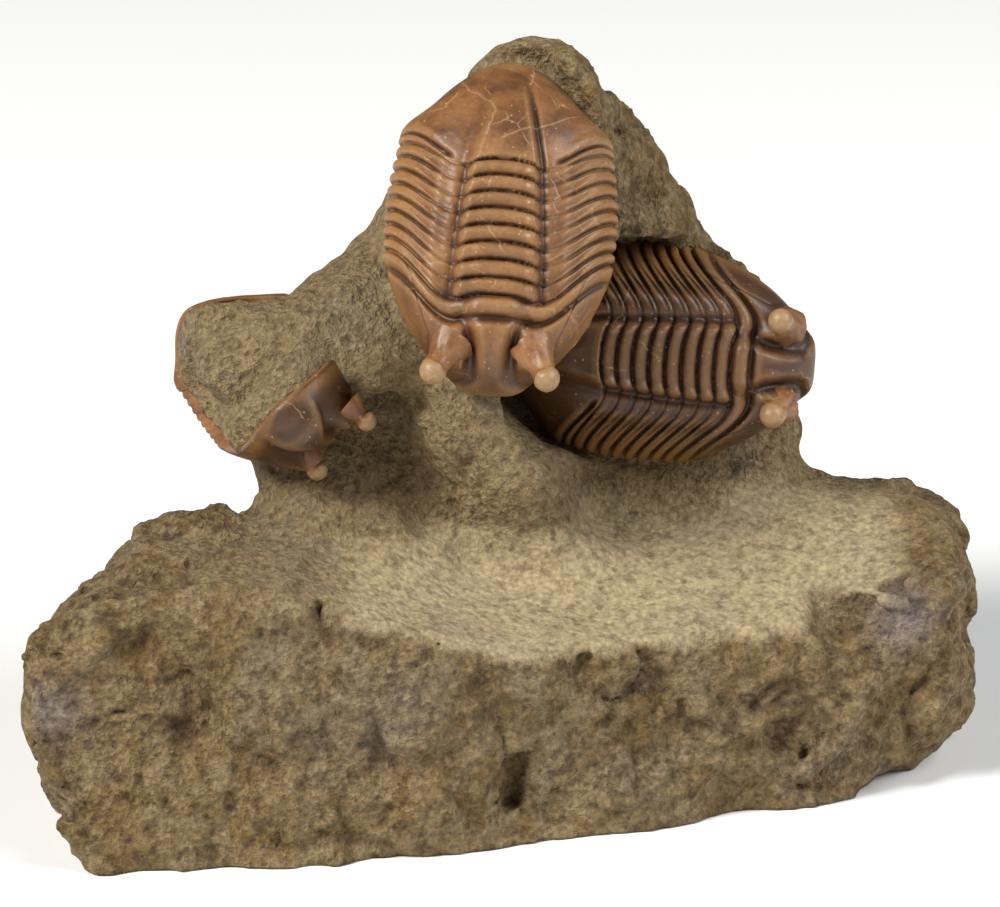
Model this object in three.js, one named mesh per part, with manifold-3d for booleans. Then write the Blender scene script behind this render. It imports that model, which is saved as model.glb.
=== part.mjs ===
// A block of pale limestone with three trilobites prepared out of it: one stands upright on the
// peak with its head down, one lies on its side behind it, and a smaller one is curled up at the
// left around a lobe of rock. Millimetres, +Z up, the block rests on its flat cut base at z = 0.
import * as THREE from 'three';
import { mergeVertices } from 'three/addons/utils/BufferGeometryUtils.js';
import { triTable } from 'three/addons/objects/MarchingCubes.js';
import { SimplifyModifier } from 'three/addons/modifiers/SimplifyModifier.js';
import Module from 'manifold-3d';

const wasm = await Module();
wasm.setup();

const vec = (x, y, z) => new THREE.Vector3(x, y, z);
const { abs, cos, sin, sqrt, exp, max, min, hypot, PI } = Math;
const clamp01 = (t) => min(1, max(0, t));
const ease = (low, high, value) => {
  const t = clamp01((value - low) / (high - low));
  return t * t * (3 - 2 * t);
};
const bell = (distance, width) => exp(-((distance / width) ** 2));

// Driving dimensions of the animal at full size, measured flat and along the body; each specimen
// has a scale. A share is a part of the half width.
const ANIMAL = {
  headLength: 23.5,
  thoraxLength: 26.5,
  tailLength: 31,
  headHalfWidth: 24,
  tailHalfWidth: 22.6,
  thoraxBulge: 0.9,
  archHeight: 14,
  underside: 1.2,
  segments: 8,
  axisShare: 0.36,
  fulcrumShare: 0.64,
  ribSweep: 4,
};
const EYE = { fromFront: 14.5, out: 11.2, lean: 3, radius: 2.7, height: 2.6, root: 2.5, neck: 2, foot: 3.3 };
const thoraxStart = ANIMAL.headLength;
const tailStart = ANIMAL.headLength + ANIMAL.thoraxLength;
const bodyLength = tailStart + ANIMAL.tailLength;
const segmentPitch = ANIMAL.thoraxLength / ANIMAL.segments;

// Where each trilobite sits. tail is the direction to the tail at the middle of the back, back is
// the way the back faces there. The body curls with one radius from there to the head and another
// to the tail, both at bendHeight above the margin.
const UPRIGHT = {
  scale: 1,
  place: vec(0, -4.3, 122.4),
  tail: vec(0.07, 0.469, 0.883),
  back: vec(0, -0.883, 0.469),
  headRadius: 58,
  tailRadius: 115,
  bendHeight: 8,
  bendMiddle: 36.7,
};
const SIDEWAYS = {
  scale: 0.97,
  place: vec(36.5, 23, 87),
  tail: vec(-0.996, 0, 0.087),
  back: vec(0.02, -0.97, 0.242),
  headRadius: 70,
  tailRadius: 100,
  bendHeight: 8,
  bendMiddle: 36.7,
};
const CURLED = {
  scale: 0.77,
  place: vec(-46.3, 14.9, 81.3),
  tail: vec(-0.373, 0.86, 0.343),
  back: vec(0.588, 0.507, -0.628),
  headRadius: 25,
  tailRadius: 25,
  bendHeight: 5,
  bendMiddle: 40,
};

// Driving dimensions of the rock surface: the grid it is sampled on, how many faces it keeps, the
// room it leaves round an animal, and how softly its forms run together.
const GRID = 2.8;
const ROCK_TRIANGLES = 2950;
const SHELL_GAP = 0.45;
const BLOCK_SIZE = { low: vec(-112, -70, -12), high: vec(112, 72, 172) };
const SOFT = { topForms: 10, faces: 5, masses: 10, plinth: 6, clearing: 3, lobe: 2, chip: 1.5 };

// Half width of the body at a distance s from the front margin.
const endTaper = (share) => (1 - clamp01(share) ** 1.75) ** 0.68;
const halfWidthAt = (s) => {
  const { headLength, thoraxLength, tailLength, headHalfWidth, tailHalfWidth, thoraxBulge } = ANIMAL;
  if (s < thoraxStart) return headHalfWidth * endTaper((thoraxStart - s) / headLength);
  if (s > tailStart) return tailHalfWidth * endTaper((s - tailStart) / tailLength);
  const along = (s - thoraxStart) / thoraxLength;
  return headHalfWidth + (tailHalfWidth - headHalfWidth) * along + thoraxBulge * sin(PI * along);
};

// Height of the back's middle above the margin: steep at the front, a long slope at the tail.
const archAt = (s) => {
  const brow = 20;
  const slopeLength = ANIMAL.tailLength + 4;
  const front = (1 - clamp01((brow - s) / brow) ** 2.2) ** 0.6;
  const rear = (1 - clamp01((s - bodyLength + slopeLength) / slopeLength) ** 2) ** 0.75;
  return ANIMAL.archHeight * front * rear;
};

// The smooth arch across the body, 1 at the middle and 0 at the margin.
const archShape = (r) => (1 - abs(r) ** 2.7) ** 0.72;

// Past the fulcrum the ribs sweep back towards the tail; the sweep dies out at both ends.
const sweepAt = (s, r) => {
  const out = 0.12 * abs(r) + 0.88 * ease(ANIMAL.fulcrumShare - 0.12, 1, abs(r));
  const kept = ease(0, thoraxStart - 2, s) * (1 - ease(tailStart + 2, bodyLength - 1, s));
  return ANIMAL.ribSweep * out * kept;
};

// The head has a raised middle lobe that narrows between the eyes, a pad under each eye, a furrow
// in front of its hind border and a faint rim.
const HEAD = {
  lobeNarrow: 4.1,
  lobeHind: 5.5,
  lobeFront: 5.2,
  lobeRise: 1.9,
  padRise: 3.1,
  border: 1.1,
  rim: 0.7,
};
const headRelief = (s, x) => {
  const across = abs(x);
  const toThorax = thoraxStart - s;
  const toEye = s - EYE.fromFront;
  const lobe = HEAD.lobeNarrow + HEAD.lobeHind * bell(toThorax, 4.5) + HEAD.lobeFront * ease(13, 4, s);
  const glabella = HEAD.lobeRise * (1 - ease(lobe - 1.2, lobe + 1.6, across)) * ease(0, 4, s);
  const besideLobe = -HEAD.lobeRise * bell(across - lobe - 1.5, 1.7) * bell(toEye, 5);
  const eyePad = HEAD.padRise * bell(hypot(across - EYE.out + 1.5, toEye), 3.6);
  const hindBorder = -HEAD.border * bell(toThorax - 3.4, 0.9);
  const rim = -HEAD.rim * bell(s - 3, 1.2) * ease(9, 14, across);
  return glabella + besideLobe + eyePad + hindBorder + rim;
};

// Each segment is a ring over the middle lobe and a rib to each side, with a furrow before the
// next one; the outer half of a rib has a shallow furrow of its own.
const THORAX = { furrow: 1.25, furrowWidth: 0.95, ribFurrow: 0.5, lobeRise: 1.7, lobeFurrow: 1 };
const thoraxRelief = (s, r) => {
  const phase = (s - thoraxStart) / segmentPitch;
  const toFurrow = abs(phase - Math.round(phase)) * segmentPitch;
  const share = ANIMAL.axisShare;
  const depth = THORAX.furrow * (1 - 0.45 * bell(abs(r) - share - 0.14, 0.1));
  const ring = -depth * bell(toFurrow, THORAX.furrowWidth);
  const ribFurrow = -THORAX.ribFurrow * ease(0.5, 0.66, abs(r)) * bell(toFurrow - segmentPitch / 2, 0.6);
  const lobe = THORAX.lobeRise * (1 - ease(share - 0.05, share + 0.06, abs(r)));
  const lobeEdge = -THORAX.lobeFurrow * bell(abs(r) - share - 0.045, 0.045);
  return ring + ribFurrow + lobe + lobeEdge;
};

// The tail shield has a middle ridge that tapers and fades, and one furrow along its front edge.
const TAIL = { lobeStart: 8.8, lobeEnd: 2.6, lobeRise: 2.3, lobeFurrow: 1.2, firstRib: 1.2 };
const tailRelief = (s, x, r) => {
  const along = (s - tailStart) / ANIMAL.tailLength;
  const lobe = TAIL.lobeStart + (TAIL.lobeEnd - TAIL.lobeStart) * along;
  const ridge = TAIL.lobeRise * (1 - ease(lobe - 1, lobe + 1.6, abs(x))) * (1 - ease(0.6, 0.9, along));
  const besideRidge = -TAIL.lobeFurrow * bell(abs(x) - lobe - 1.6, 1.5) * (1 - ease(0.5, 0.8, along));
  const firstRib = -TAIL.firstRib * bell(s - tailStart - 2.6 - 2.2 * abs(r), 1.1) * ease(0.4, 0.7, abs(r));
  return ridge + besideRidge + firstRib;
};

// Height of the back at s along the body and share r of the half width.
const backHeight = (s, r) => {
  const x = r * halfWidthAt(s);
  const blend = 0.8;
  const inThorax = ease(thoraxStart - blend, thoraxStart, s) * (1 - ease(tailStart, tailStart + blend, s));
  let relief = inThorax * thoraxRelief(s, r);
  if (s < thoraxStart) relief += (1 - inThorax) * headRelief(s, x);
  if (s > tailStart) relief += (1 - inThorax) * tailRelief(s, x, r);
  const towardsMargin = 1 - 0.75 * ease(0.86, 1, abs(r));
  const towardsEnds = ease(0, 3, s) * ease(0, 3, bodyLength - s);
  return archAt(s) * archShape(r) + relief * towardsMargin * towardsEnds;
};

// A specimen's frame: turns flat body coordinates (x across, s along, z up) into the curled,
// placed body, and back again.
const specimenFrame = (specimen) => {
  const { scale, place, headRadius, tailRadius, bendHeight, bendMiddle } = specimen;
  const tail = specimen.tail.clone().normalize();
  const back = specimen.back.clone().addScaledVector(tail, -specimen.back.dot(tail)).normalize();
  const across = new THREE.Vector3().crossVectors(tail, back);
  const toWorld = (x, s, z) => {
    const radius = s < bendMiddle ? headRadius : tailRadius;
    const turn = ((s - bendMiddle) * scale) / radius;
    const reach = radius + (z - bendHeight) * scale;
    return place
      .clone()
      .addScaledVector(across, x * scale)
      .addScaledVector(tail, reach * sin(turn))
      .addScaledVector(back, reach * cos(turn) - radius);
  };
  const toBody = (px, py, pz) => {
    const dx = px - place.x;
    const dy = py - place.y;
    const dz = pz - place.z;
    const along = dx * tail.x + dy * tail.y + dz * tail.z;
    const radius = along < 0 ? headRadius : tailRadius;
    const up = dx * back.x + dy * back.y + dz * back.z + radius;
    return {
      x: (dx * across.x + dy * across.y + dz * across.z) / scale,
      s: (Math.atan2(along, up) * radius) / scale + bendMiddle,
      z: (sqrt(along * along + up * up) - radius) / scale + bendHeight,
      up,
    };
  };
  return { scale, toWorld, toBody };
};

// A solid from flat lists of coordinates and corner numbers, turned the right way out.
const solidOf = (coordinates, corners) => {
  const build = (triVerts) =>
    new wasm.Manifold(
      new wasm.Mesh({ numProp: 3, vertProperties: Float32Array.from(coordinates), triVerts }),
    );
  const solid = build(Uint32Array.from(corners));
  if (solid.volume() > 0) return solid;
  return build(Uint32Array.from(corners).reverse());
};
const solidOfGeometry = (geometry) => {
  const bare = new THREE.BufferGeometry();
  bare.setAttribute('position', geometry.getAttribute('position'));
  if (geometry.getIndex()) bare.setIndex(geometry.getIndex());
  const merged = mergeVertices(bare, 1e-4);
  return solidOf(merged.getAttribute('position').array, merged.getIndex().array);
};
const geometryOf = (solid) => {
  const mesh = solid.getMesh();
  const geometry = new THREE.BufferGeometry();
  geometry.setAttribute('position', new THREE.BufferAttribute(Float32Array.from(mesh.vertProperties), 3));
  geometry.setIndex(new THREE.BufferAttribute(Uint32Array.from(mesh.triVerts), 1));
  geometry.computeVertexNormals();
  return geometry;
};

// Stations along the body: some on the head, a furrow and a crest for each segment, and the tail.
const HEAD_STATIONS = [0.9, 2.6, 5, 8.2, 11.4, 14.5, 17.5, 20.1, 22];
const TAIL_STATIONS = [1.6, 4, 7, 10.6, 15, 19.4, 23.2, 26.4, 28.4, 30];
const ACROSS_SHARES = [0, 0.16, 0.3, 0.405, 0.5, 0.62, 0.75, 0.87, 0.95, 1];
const UNDER_SHARES = [0.8, 0.3, -0.3, -0.8];
const bodyStations = () => {
  const rows = [...HEAD_STATIONS];
  for (let i = 0; i <= 2 * ANIMAL.segments; i++) rows.push(thoraxStart + (i / 2) * segmentPitch);
  return rows.concat(TAIL_STATIONS.map((s) => tailStart + s));
};

// A closed body between the back and a plain underside. With swell it is the room for the body:
// that much wider round the margin and below, and raised well clear over the back.
const bodySolid = (frame, rows, shares, swell) => {
  const overBack = 6 * swell;
  const points = [];
  const faces = [];
  const add = (x, s, z) => points.push(frame.toWorld(x, s, z)) - 1;
  const mirrored = shares.slice(1).reverse().map((r) => -r);
  const rings = rows.map((s) => {
    const width = halfWidthAt(s) + 2 * swell;
    const over = [...mirrored, ...shares].map((r) =>
      add(r * width, s + sweepAt(s, r), backHeight(s, r) + overBack * (1 - r * r)),
    );
    const under = UNDER_SHARES.map((r) => add(r * width, s + sweepAt(s, r), -ANIMAL.underside - swell));
    return [...over, ...under];
  });
  const tips = [add(0, -2 * swell, -0.4), add(0, bodyLength + 2 * swell, -0.4)];
  const last = rings[rings.length - 1];
  last.forEach((corner, j) => {
    const k = (j + 1) % last.length;
    faces.push(tips[0], rings[0][k], rings[0][j], tips[1], corner, last[k]);
    for (let i = 0; i + 1 < rings.length; i++) {
      const [a, b, c, d] = [rings[i][j], rings[i][k], rings[i + 1][k], rings[i + 1][j]];
      if ((i + j) % 2) faces.push(a, b, c, a, c, d);
      else faces.push(a, b, d, b, c, d);
    }
  });
  return solidOf(points.flatMap((p) => p.toArray()), faces);
};

// An eye is a small ball on a short stalk that leans outwards.
const eyeSolid = (frame, side, swell) => {
  const base = backHeight(EYE.fromFront, EYE.out / halfWidthAt(EYE.fromFront));
  const inner = EYE.out - 2;
  const foot = frame.toWorld(side * inner, EYE.fromFront, base - EYE.root);
  const top = frame.toWorld(side * (inner + EYE.lean), EYE.fromFront, base + EYE.height);
  const size = (millimetres) => millimetres * frame.scale + swell;
  const ball = new THREE.SphereGeometry(size(EYE.radius), 8, 6);
  ball.translate(top.x, top.y, top.z);
  const reach = top.clone().sub(foot);
  const stalk = new THREE.CylinderGeometry(size(EYE.neck), size(EYE.foot), reach.length(), 7);
  stalk.applyQuaternion(new THREE.Quaternion().setFromUnitVectors(vec(0, 1, 0), reach.clone().normalize()));
  const middle = foot.clone().add(top).multiplyScalar(0.5);
  stalk.translate(middle.x, middle.y, middle.z);
  return solidOfGeometry(ball).add(solidOfGeometry(stalk));
};

const withEyes = (frame, body, swell) =>
  [-1, 1].reduce((solid, side) => solid.add(eyeSolid(frame, side, swell)), body);
const trilobite = (specimen) => {
  const frame = specimenFrame(specimen);
  return withEyes(frame, bodySolid(frame, bodyStations(), ACROSS_SHARES, 0), 0);
};

// The room that the stone leaves for an animal: its plain outer form, a little larger all round.
const ROOM_STATIONS = { front: [0.9, 2.6, 5], step: 4.8, tail: [5.4, 2.8, 1.2] };
const ROOM_SHARES = [0, 0.5, 0.85, 1];
const trilobiteRoom = (specimen) => {
  const frame = specimenFrame(specimen);
  const { front, step, tail } = ROOM_STATIONS;
  const rows = [...front];
  for (let s = 2 * step; s < bodyLength - tail[0] - 2; s += step) rows.push(s);
  rows.push(...tail.map((fromEnd) => bodyLength - fromEnd));
  return withEyes(frame, bodySolid(frame, rows, ROOM_SHARES, SHELL_GAP), SHELL_GAP);
};

// Soft joins of two distances; k is the width over which they run together.
const softMin = (a, b, k) => {
  const overlap = max(k - abs(a - b), 0) / k;
  return min(a, b) - (overlap * overlap * k) / 4;
};
const softMax = (a, b, k) => -softMin(-a, -b, k);

// A mass of rock is a cone with round ends, from one point and radius to another.
const mass = (from, fromRadius, to, toRadius) => {
  const axis = to.clone().sub(from);
  const length = axis.length();
  const slope = (fromRadius - toRadius) / length;
  const flank = sqrt(1 - slope * slope);
  return { from, fromRadius, toRadius, axis: axis.normalize(), length, slope, flank };
};
const massDistance = ({ from, fromRadius, toRadius, axis, length, slope, flank }, x, y, z) => {
  const px = x - from.x;
  const py = y - from.y;
  const pz = z - from.z;
  const along = px * axis.x + py * axis.y + pz * axis.z;
  const away = sqrt(max(0, px * px + py * py + pz * pz - along * along));
  const station = along * flank - away * slope;
  if (station < 0) return hypot(along, away) - fromRadius;
  if (station > length * flank) return hypot(along - length, away) - toRadius;
  return away * flank + along * slope - fromRadius;
};
const MASSES = [
  mass(vec(-6, 38, 30), 26, vec(7.5, 28, 139), 16.5),
  mass(vec(-12, 26, 48), 22, vec(-1, 27, 116), 20),
  mass(vec(-4, 28, 116), 15, vec(-40, 26, 78), 17),
  mass(vec(21, 34, 124), 14, vec(47, 44, 62), 19),
  mass(vec(8, 42, 50), 16, vec(40, 42, 60), 16),
  mass(vec(52, 36, 36), 20, vec(86, 30, 36), 14),
  mass(vec(-6, 12, 72), 9, vec(16, 6, 42), 9),
  mass(vec(-30, 3, 42), 18, vec(-38, 14, 60), 13),
  mass(vec(-56, 9, 92), 8, vec(-34, 18, 96), 11),
  mass(vec(-72, 0, 50), 6, vec(-64, 0, 51), 6),
];

// The flat broken faces of the block: a point on each and the way it faces.
const face = (point, normal) => ({ point, normal: normal.normalize() });
const FRONT_LEFT = face(vec(-66, -50.5, 0), vec(0.02, -0.978, 0.2));
const FRONT_RIGHT = face(vec(8, -36, 0), vec(0.281, -0.957, 0.06));
const OTHER_FACES = [
  face(vec(83, -6, 5), vec(0.62, -0.45, -0.64)),
  face(vec(99, 20, 40), vec(0.99, -0.05, 0.08)),
  face(vec(0, 57, 20), vec(0.02, 0.98, 0.17)),
  face(vec(-88, -36, 0), vec(-0.9, -0.26, -0.35)),
  face(vec(-97, 0, 26), vec(-1, 0.04, 0)),
  face(vec(-95.5, 0, 35), vec(-0.62, 0.25, 0.74)),
  face(vec(-88, 44, 10), vec(-0.6, 0.78, 0.1)),
  face(vec(92, 48, 20), vec(0.6, 0.78, 0.1)),
];
const BACK_SLOPE = face(vec(0, 0, 65.5), vec(-0.087, 0.5, 1));
const BELOW_CUT = face(vec(0, 0, -7), vec(0, 0, -1));
const FACES = [FRONT_LEFT, FRONT_RIGHT, ...OTHER_FACES, BACK_SLOPE, BELOW_CUT];

// The top of the block: a dished basin at the right that rises to a bank, and a shelf at the left.
const BASIN = { floor: 40.5, rimY: -34, dish: 0.004, bankX: 62, bank: 0.008, bankTop: 51, soft: 6 };
const SHELF = { height: 55.5, frontY: -42, backRise: 0.07, dropX: -42, drop: 0.33 };
const topHeight = (x, y) => {
  const dish = BASIN.floor + BASIN.dish * (y - BASIN.rimY) ** 2 + BASIN.bank * max(0, x - BASIN.bankX) ** 2;
  const basin = softMin(dish, BASIN.bankTop, BASIN.soft);
  const shelf = SHELF.height + SHELF.backRise * (y - SHELF.frontY) - SHELF.drop * max(0, x - SHELF.dropX);
  return softMax(basin, shelf, SOFT.topForms);
};

// The upright and sideways animals stand proud on stone that follows their outline below the
// margin, and nothing covers their backs. The curled one holds a lobe of stone that ends in a
// plane between the rims of its head and tail.
const PLINTH = { depth: 26, inset: 2, spread: 0.25 };
const plinthDistance = (frame, x, y, z) => {
  const body = frame.toBody(x, y, z);
  const inset = PLINTH.inset - PLINTH.spread * body.z;
  const side = abs(body.x) - max(halfWidthAt(body.s) - inset, -inset);
  const ends = abs(body.s - bodyLength / 2) - (bodyLength / 2 - inset);
  const depth = max(body.z, -PLINTH.depth - body.z);
  return softMax(softMax(side, ends, 3), depth, 2) * frame.scale;
};
const CLEARING = { margin: 2.5, height: 30, below: 0.6 };
const clearingDistance = (frame, x, y, z) => {
  const body = frame.toBody(x, y, z);
  const width = halfWidthAt(min(bodyLength - 3, max(3, body.s)));
  const side = abs(body.x) - width - CLEARING.margin;
  const ends = abs(body.s - bodyLength / 2) - bodyLength / 2 - CLEARING.margin;
  const depth = max(-CLEARING.below - body.z, body.z - CLEARING.height);
  return softMax(softMax(side, ends, 4), depth, 3) * frame.scale;
};
const LOBE = { inset: 0.5, planeAt: 5.5 };
const lobeDistance = (frame, x, y, z) => {
  const body = frame.toBody(x, y, z);
  const side = abs(body.x) - halfWidthAt(min(bodyLength - 1, max(1, body.s))) + LOBE.inset;
  const filled = softMax(body.z, side, 3) * frame.scale;
  return softMax(filled, LOBE.planeAt - body.up, 2);
};

// Swells and hollows of the broken stone, from crossed waves of three sizes.
const wave = (x, y, z, k) => {
  const a = sin(k * x + 1.7 * sin(0.6 * k * y));
  const b = sin(1.1 * k * y + 1.3 * sin(0.7 * k * z));
  const c = sin(0.9 * k * z + sin(0.8 * k * x));
  return a * b * c;
};
const roughness = (x, y, z) =>
  2.4 * wave(x + 11, y, z + 5, 0.1) + 1.3 * wave(x, y + 31, z, 0.21) + 0.7 * wave(x + 7, y, z + 3, 0.43);

// Scooped fractures on the broken faces, placed by a small seeded generator.
const CHIP = { count: 84, seed: 77, radius: [9, 24], depth: [1.2, 3.8] };
const chips = (() => {
  let state = CHIP.seed;
  const random = () => {
    state = (state * 16807) % 2147483647;
    return state / 2147483647;
  };
  const between = ([low, high]) => low + (high - low) * random();
  const made = [];
  for (let i = 0; i < CHIP.count; i++) {
    const choices = [FRONT_LEFT, FRONT_RIGHT, OTHER_FACES[(i * 5) % OTHER_FACES.length]];
    const { point, normal } = choices[i % choices.length];
    const spot = vec(between([-100, 100]), between([-55, 55]), between([0, 60]));
    const radius = between(CHIP.radius);
    const above = spot.clone().sub(point).dot(normal);
    made.push({ centre: spot.addScaledVector(normal, radius - between(CHIP.depth) - above), radius });
  }
  return made;
})();

// Single hollows that the stone shows: the deep hole and the scoop in the right front face, the
// notch in the rim, and the hollow under the left crest.
const HOLLOWS = [
  { centre: vec(2, -39, 13), radius: 5 },
  { centre: vec(67, -42, 26), radius: 24 },
  { centre: vec(72, -13, 44), radius: 8 },
  { centre: vec(-59, -51, 44), radius: 10 },
];

const SMOOTH_SHARE = 0.15;
const rockDistance = (frames, x, y, z) => {
  const top = topHeight(x, y);
  let block = (z - top) * 0.92;
  for (const { point, normal } of FACES) {
    const above = (x - point.x) * normal.x + (y - point.y) * normal.y + (z - point.z) * normal.z;
    block = softMax(block, above, SOFT.faces);
  }
  const broken = SMOOTH_SHARE + (1 - SMOOTH_SHARE) * max(ease(0, 9, top - z), ease(34, 50, y));
  const swells = roughness(x, y, z) * broken;
  block += swells;
  for (const { centre, radius } of [...chips, ...HOLLOWS]) {
    const reach = radius - hypot(x - centre.x, y - centre.y, z - centre.z);
    if (reach > -SOFT.faces) block = softMax(block, reach, SOFT.chip);
  }
  let stone = block;
  for (const form of MASSES) stone = softMin(stone, massDistance(form, x, y, z) + swells * 0.6, SOFT.masses);
  for (const frame of frames.proud) stone = softMin(stone, plinthDistance(frame, x, y, z), SOFT.plinth);
  for (const frame of frames.proud) stone = softMax(stone, -clearingDistance(frame, x, y, z), SOFT.clearing);
  return softMin(stone, lobeDistance(frames.curled, x, y, z), SOFT.lobe);
};

// The surface where a distance is zero, by marching through a grid of cubes.
const SQUARE = [[0, 0], [1, 0], [1, 1], [0, 1]];
const CUBE_CORNERS = [0, 1].flatMap((k) => SQUARE.map(([i, j]) => [i, j, k]));
const CUBE_EDGES = [[0, 0], [4, 4]]
  .flatMap(([from, to]) => [0, 1, 2, 3].map((n) => [from + n, to + ((n + 1) % 4)]))
  .concat([0, 1, 2, 3].map((n) => [n, n + 4]));
const marchedGeometry = (distanceAt, { low, high }, step) => {
  const [nx, ny, nz] = high.clone().sub(low).divideScalar(step).ceil().addScalar(1).toArray();
  const at = (i, j, k) => (k * ny + j) * nx + i;
  const values = new Float64Array(nx * ny * nz);
  const eachCell = (margin, visit) => {
    for (let k = 0; k < nz - margin; k++)
      for (let j = 0; j < ny - margin; j++)
        for (let i = 0; i < nx - margin; i++) visit(i, j, k);
  };
  eachCell(0, (i, j, k) => {
    values[at(i, j, k)] = distanceAt(low.x + i * step, low.y + j * step, low.z + k * step);
  });
  const points = [];
  const corners = [];
  const known = new Map();
  const crossing = (i, j, k, edge) => {
    const [a, b] = CUBE_EDGES[edge].map((corner) => CUBE_CORNERS[corner]);
    const ia = at(i + a[0], j + a[1], k + a[2]);
    const ib = at(i + b[0], j + b[1], k + b[2]);
    const key = min(ia, ib) * values.length + max(ia, ib);
    if (!known.has(key)) {
      const t = min(0.98, max(0.02, values[ia] / (values[ia] - values[ib])));
      const cell = [i, j, k];
      known.set(key, points.length / 3);
      low.toArray().forEach((start, n) => points.push(start + (cell[n] + a[n] + t * (b[n] - a[n])) * step));
    }
    return known.get(key);
  };
  eachCell(1, (i, j, k) => {
    let kind = 0;
    CUBE_CORNERS.forEach((c, n) => {
      if (values[at(i + c[0], j + c[1], k + c[2])] > 0) kind |= 1 << n;
    });
    for (let n = kind * 16; triTable[n] !== -1; n++) corners.push(crossing(i, j, k, triTable[n]));
  });
  const geometry = new THREE.BufferGeometry();
  geometry.setAttribute('position', new THREE.BufferAttribute(Float32Array.from(points), 3));
  geometry.setIndex(new THREE.BufferAttribute(Uint32Array.from(corners), 1));
  return geometry;
};

// The block: the sampled surface, thinned, cut flat where it rests, with room for the animals.
const matrixSolid = async () => {
  const frames = { proud: [UPRIGHT, SIDEWAYS].map(specimenFrame), curled: specimenFrame(CURLED) };
  const full = marchedGeometry((x, y, z) => rockDistance(frames, x, y, z), BLOCK_SIZE, GRID);
  const spare = 1 - (ROCK_TRIANGLES * 3) / full.getIndex().count;
  const removed = Math.floor(full.getAttribute('position').count * spare);
  const thinned = await new SimplifyModifier().modify(full, removed);
  const belowFloor = new THREE.BoxGeometry(300, 300, 30);
  belowFloor.translate(0, 0, -15);
  let stone = solidOfGeometry(thinned).subtract(solidOfGeometry(belowFloor));
  for (const specimen of [UPRIGHT, SIDEWAYS, CURLED]) stone = stone.subtract(trilobiteRoom(specimen));
  return stone.decompose().reduce((a, b) => (a.volume() > b.volume() ? a : b));
};

const fossil = new THREE.Group();
const addPiece = (name, solid, color, roughness) => {
  const material = new THREE.MeshStandardMaterial({ color, roughness, metalness: 0 });
  const mesh = new THREE.Mesh(geometryOf(solid), material);
  mesh.name = name;
  fossil.add(mesh);
};
addPiece('matrix', await matrixSolid(), 0xb5a27d, 0.95);
addPiece('trilobite_upright', trilobite(UPRIGHT), 0x8c5a33, 0.5);
addPiece('trilobite_sideways', trilobite(SIDEWAYS), 0x7a4a2a, 0.5);
addPiece('trilobite_curled', trilobite(CURLED), 0x8f5c30, 0.5);

export default fossil;
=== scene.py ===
# Three trilobites prepared out of a block of pale limestone, seen from the front and a little above.
# Lengths in the dictionaries are millimetres unless a note says otherwise; the scene is in metres.
import math

import bpy
import numpy as np
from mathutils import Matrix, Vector


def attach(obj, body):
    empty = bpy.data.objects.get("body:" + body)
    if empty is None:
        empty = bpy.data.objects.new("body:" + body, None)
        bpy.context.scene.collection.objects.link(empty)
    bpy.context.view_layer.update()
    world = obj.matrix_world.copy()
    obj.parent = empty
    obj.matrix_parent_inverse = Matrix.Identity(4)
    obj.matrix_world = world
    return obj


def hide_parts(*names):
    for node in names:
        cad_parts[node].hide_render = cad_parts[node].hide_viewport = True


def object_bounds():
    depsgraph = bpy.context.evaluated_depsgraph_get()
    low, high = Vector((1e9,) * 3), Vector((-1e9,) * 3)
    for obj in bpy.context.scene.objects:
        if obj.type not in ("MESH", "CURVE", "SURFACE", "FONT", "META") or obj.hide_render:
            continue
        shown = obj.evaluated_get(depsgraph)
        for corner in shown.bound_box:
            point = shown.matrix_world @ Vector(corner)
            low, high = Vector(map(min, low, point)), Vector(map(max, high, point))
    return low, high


mm = 0.001
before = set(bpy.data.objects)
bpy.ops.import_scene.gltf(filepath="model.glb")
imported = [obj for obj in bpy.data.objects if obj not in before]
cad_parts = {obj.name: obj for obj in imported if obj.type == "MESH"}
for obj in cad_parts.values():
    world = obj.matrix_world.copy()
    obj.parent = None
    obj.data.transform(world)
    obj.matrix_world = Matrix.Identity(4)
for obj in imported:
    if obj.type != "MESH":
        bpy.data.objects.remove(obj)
cadBox = [list(corner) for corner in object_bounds()]
print("solids loaded:", sorted(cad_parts))


def ease(low, high, value):
    t = np.clip((value - low) / (high - low), 0, 1)
    return t * t * (3 - 2 * t)


def bell(distance, width):
    return np.exp(-((distance / width) ** 2))


def softMin(a, b, k):
    overlap = np.maximum(k - np.abs(a - b), 0) / k
    return np.minimum(a, b) - overlap * overlap * k / 4


def softMax(a, b, k):
    return -softMin(-a, -b, k)


def unit(v):
    v = np.array(v, float)
    return v / np.linalg.norm(v)


turned = np.array([[0.36, 0.48, -0.8], [-0.8, 0.6, 0.0], [0.48, 0.64, 0.6]], np.float32)


def noise(points, size, seed, stretch=(1, 1, 1)):
    # smooth random values from -1 to 1 that change over about size millimetres
    lattice = np.random.default_rng(seed).uniform(-1, 1, (32, 32, 32)).astype(np.float32)
    cell = (points.astype(np.float32) @ turned.T) / (np.array(stretch, np.float32) * size)
    low = np.floor(cell)
    t = cell - low
    t = t * t * t * (t * (t * 6 - 15) + 10)
    i, j, k = (low.astype(np.int32) & 31).T
    i2, j2, k2 = (i + 1) & 31, (j + 1) & 31, (k + 1) & 31
    tx, ty, tz = t.T

    def line(a, b):
        return lattice[i, a, b] * (1 - tx) + lattice[i2, a, b] * tx

    near = line(j, k) * (1 - ty) + line(j2, k) * ty
    far = line(j, k2) * (1 - ty) + line(j2, k2) * ty
    return near * (1 - tz) + far * tz


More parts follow.
